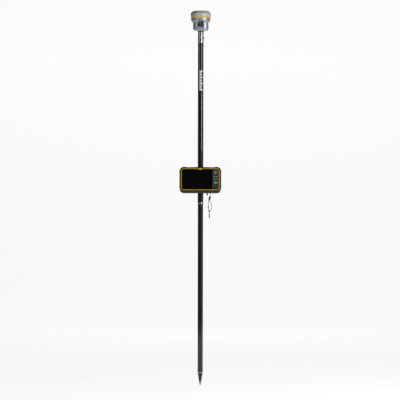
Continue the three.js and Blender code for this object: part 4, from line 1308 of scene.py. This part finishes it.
def make_batteries():
    """Each battery is a slab with rounded edges, cut by four grip grooves, with a ribbed latch."""
    for x, node in zip(BATTERY_SIDES[::-1], ("tablet_battery_left", "tablet_battery_right")):
        place = TABLET_REAR.moved(x)
        case = block(53.4, 79.4, 2.4, 9.3, 19, place, edge=0.6, foot=0.8)
        pack = piece(f"{node}_pack", [case], BATTERY, node, node)
        grips = [block(30, 2, 0.9, 18.2, 24, place.moved(0, up), edge=0.1) for up in (-4, 0, 4, 8)]
        carved(pack, *grips, block(20, 9, 2, 17.6, 24, place.moved(0, -30), edge=0.1))
        latch = [block(12, 7.6, 1.6, 17.6, 19.2, place.moved(-3, -30), edge=0.4)]
        latch += [block(0.9, 5.6, 0.4, 19, 19.6, place.moved(-3 + step, -30), edge=0.2) for step in (-3, -1, 1, 3)]
        piece(f"{node}_latch", latch, GREY_METAL, node)


def make_puck():
    """Three slabs, the middle one narrower so that they form a dovetail, and four screws."""
    place = TABLET_REAR.moved(-1)
    skins = [block(60, 44, 4, 19.3, 22, place, edge=0.5), block(30, 44, 1, 21.5, 25.9, place, edge=0.05),
             block(44, 44, 1, 25.4, 28.6, place, edge=0.6, foot=0.3)]
    piece("dovetail_puck", skins, BLACK_METAL, "tablet", "mount_puck")
    screws = [screw(place.moved(x, up, 21.9), 2.4, 0.4) for x in (-25.5, 25.5) for up in (-17, 17)]
    piece("puck_screws", screws, STEEL, "tablet")


def make_stylus():
    """A turned shaft that narrows at one end, and a ball turned from half a circle at the other."""
    place = ALONG_UP.moved(SILO_X, SILO_DEPTH)
    shaft = revolved([
        (0.05, -83, 0), (2.2, -83, 0.2), (3.3, -80, 0.8), (3.3, 26, 0.4), (1.2, 33, 0.6), (0.05, 33.5, 0),
    ], place, sides=40)
    angle = np.linspace(-math.pi / 2, math.pi / 2, 25)
    ball = revolved([(max(4.5 * math.cos(a), 0.03), -85 + 4.5 * math.sin(a), 0) for a in angle], place, sides=48)
    piece("stylus_pen", [shaft, ball], BLACK_PLASTIC, "stylus", "stylus", sharp=40)


make_bumper()
make_bezel()
make_front()
make_keys()
make_rear()
make_batteries()
make_puck()
make_stylus()


# ---- The lanyard's fittings ----------------------------------------------------------------

def make_lanyard():
    """The ring, the lock with its eye, the crimp, the bead and the end sleeve; each is turned in one profile."""
    angle = np.arange(64) * TAU / 64
    circle_path = LUG_HOLE + np.column_stack([0 * angle, 6 * np.cos(angle), 6 * np.sin(angle) - 6]) * MM
    piece("split_ring", [wire_loop(circle_path, 0.7)], STEEL, "lanyard", "link_ring")
    lean = math.radians(11.8)
    crimp_x, bead_x = -5.9, -10.8
    barrel_place = Place(LANYARD.points([[-5.6, -35, 0]])[0], (math.cos(lean), 0, -math.sin(lean)), (0, 1, 0))
    profile = [(0.05, -1.6, 0), (3.8, -1.6, 0.4), (4.2, 0, 0.2), (4.6, 0, 0.4), (5.3, 1.4, 0.6)]
    for level in (5, 8, 11):
        profile += [(5.3, level, 0.2), (4.8, level + 0.4, 0.2), (4.8, level + 1.0, 0.2), (5.3, level + 1.4, 0.2)]
    profile += [(5.3, 15.4, 0.4), (4.7, 16, 0.2), (4.7, 21.4, 0.6), (0.05, 22, 0)]
    piece("cord_lock_barrel", [revolved(profile, barrel_place, sides=56)], BLACK_PLASTIC, "lanyard", "cord_lock")
    eye = piece("cord_lock_eye", [block(6.4, 8, 1.6, -1.2, 1.2, LANYARD.moved(-0.6, -13), edge=0.4, foot=0.4)],
                BLACK_PLASTIC, "lanyard")
    carved(eye, revolved([(1.6, -5, 0), (1.6, 5, 0)], LANYARD.moved(0, -12), sides=40))
    fall = Place(LUG_HOLE)
    crimp = revolved([(1.85, -104, 0), (3.9, -104, 0.3), (4.3, -103.3, 0.5), (4.3, -97.7, 0.5), (4.6, -96.6, 0.6),
                      (4.2, -95.2, 0.5), (0.9, -94.6, 0)], fall.moved(crimp_x), True, 40)
    piece("cord_crimp_sleeve", [crimp], BLACK_METAL, "lanyard", "cord_crimp")
    bead = revolved([(1.85, -82.5, 0), (2.2, -82.5, 0.2), (2.85, -80.6, 0.8), (2.85, -73.4, 0.8), (2.2, -71.5, 0.2),
                     (1.85, -71.5, 0)], fall.moved(bead_x), True, 40)
    piece("cord_slide_bead", [bead], BLACK_PLASTIC, "lanyard", "cord_bead")
    profile = [(0.05, -138, 0), (1.8, -138, 0.4), (2.85, -136.4, 0.4)]
    for level in (-132, -129, -126):
        profile += [(2.85, level, 0.2), (2.5, level + 0.3, 0.1), (2.5, level + 0.9, 0.1), (2.85, level + 1.2, 0.2)]
    profile += [(2.85, -114.4, 0.5), (2.2, -113, 0.2), (0.05, -113, 0)]
    piece("cord_end_sleeve", [revolved(profile, fall.moved(crimp_x), sides=40)], BLACK_PLASTIC, "lanyard", "cord_end")


make_lanyard()


# ---- What keeps its CAD shape --------------------------------------------------------------

INNER_PARTS = {
    "display_module": DISPLAY_BACK, "tablet_board": BOARD, "receiver_board": BOARD, "antenna_element": CERAMIC,
}
for name, material in INNER_PARTS.items():
    mesh = frame["nodes"][name].data
    mesh.materials.clear()
    mesh.materials.append(material)
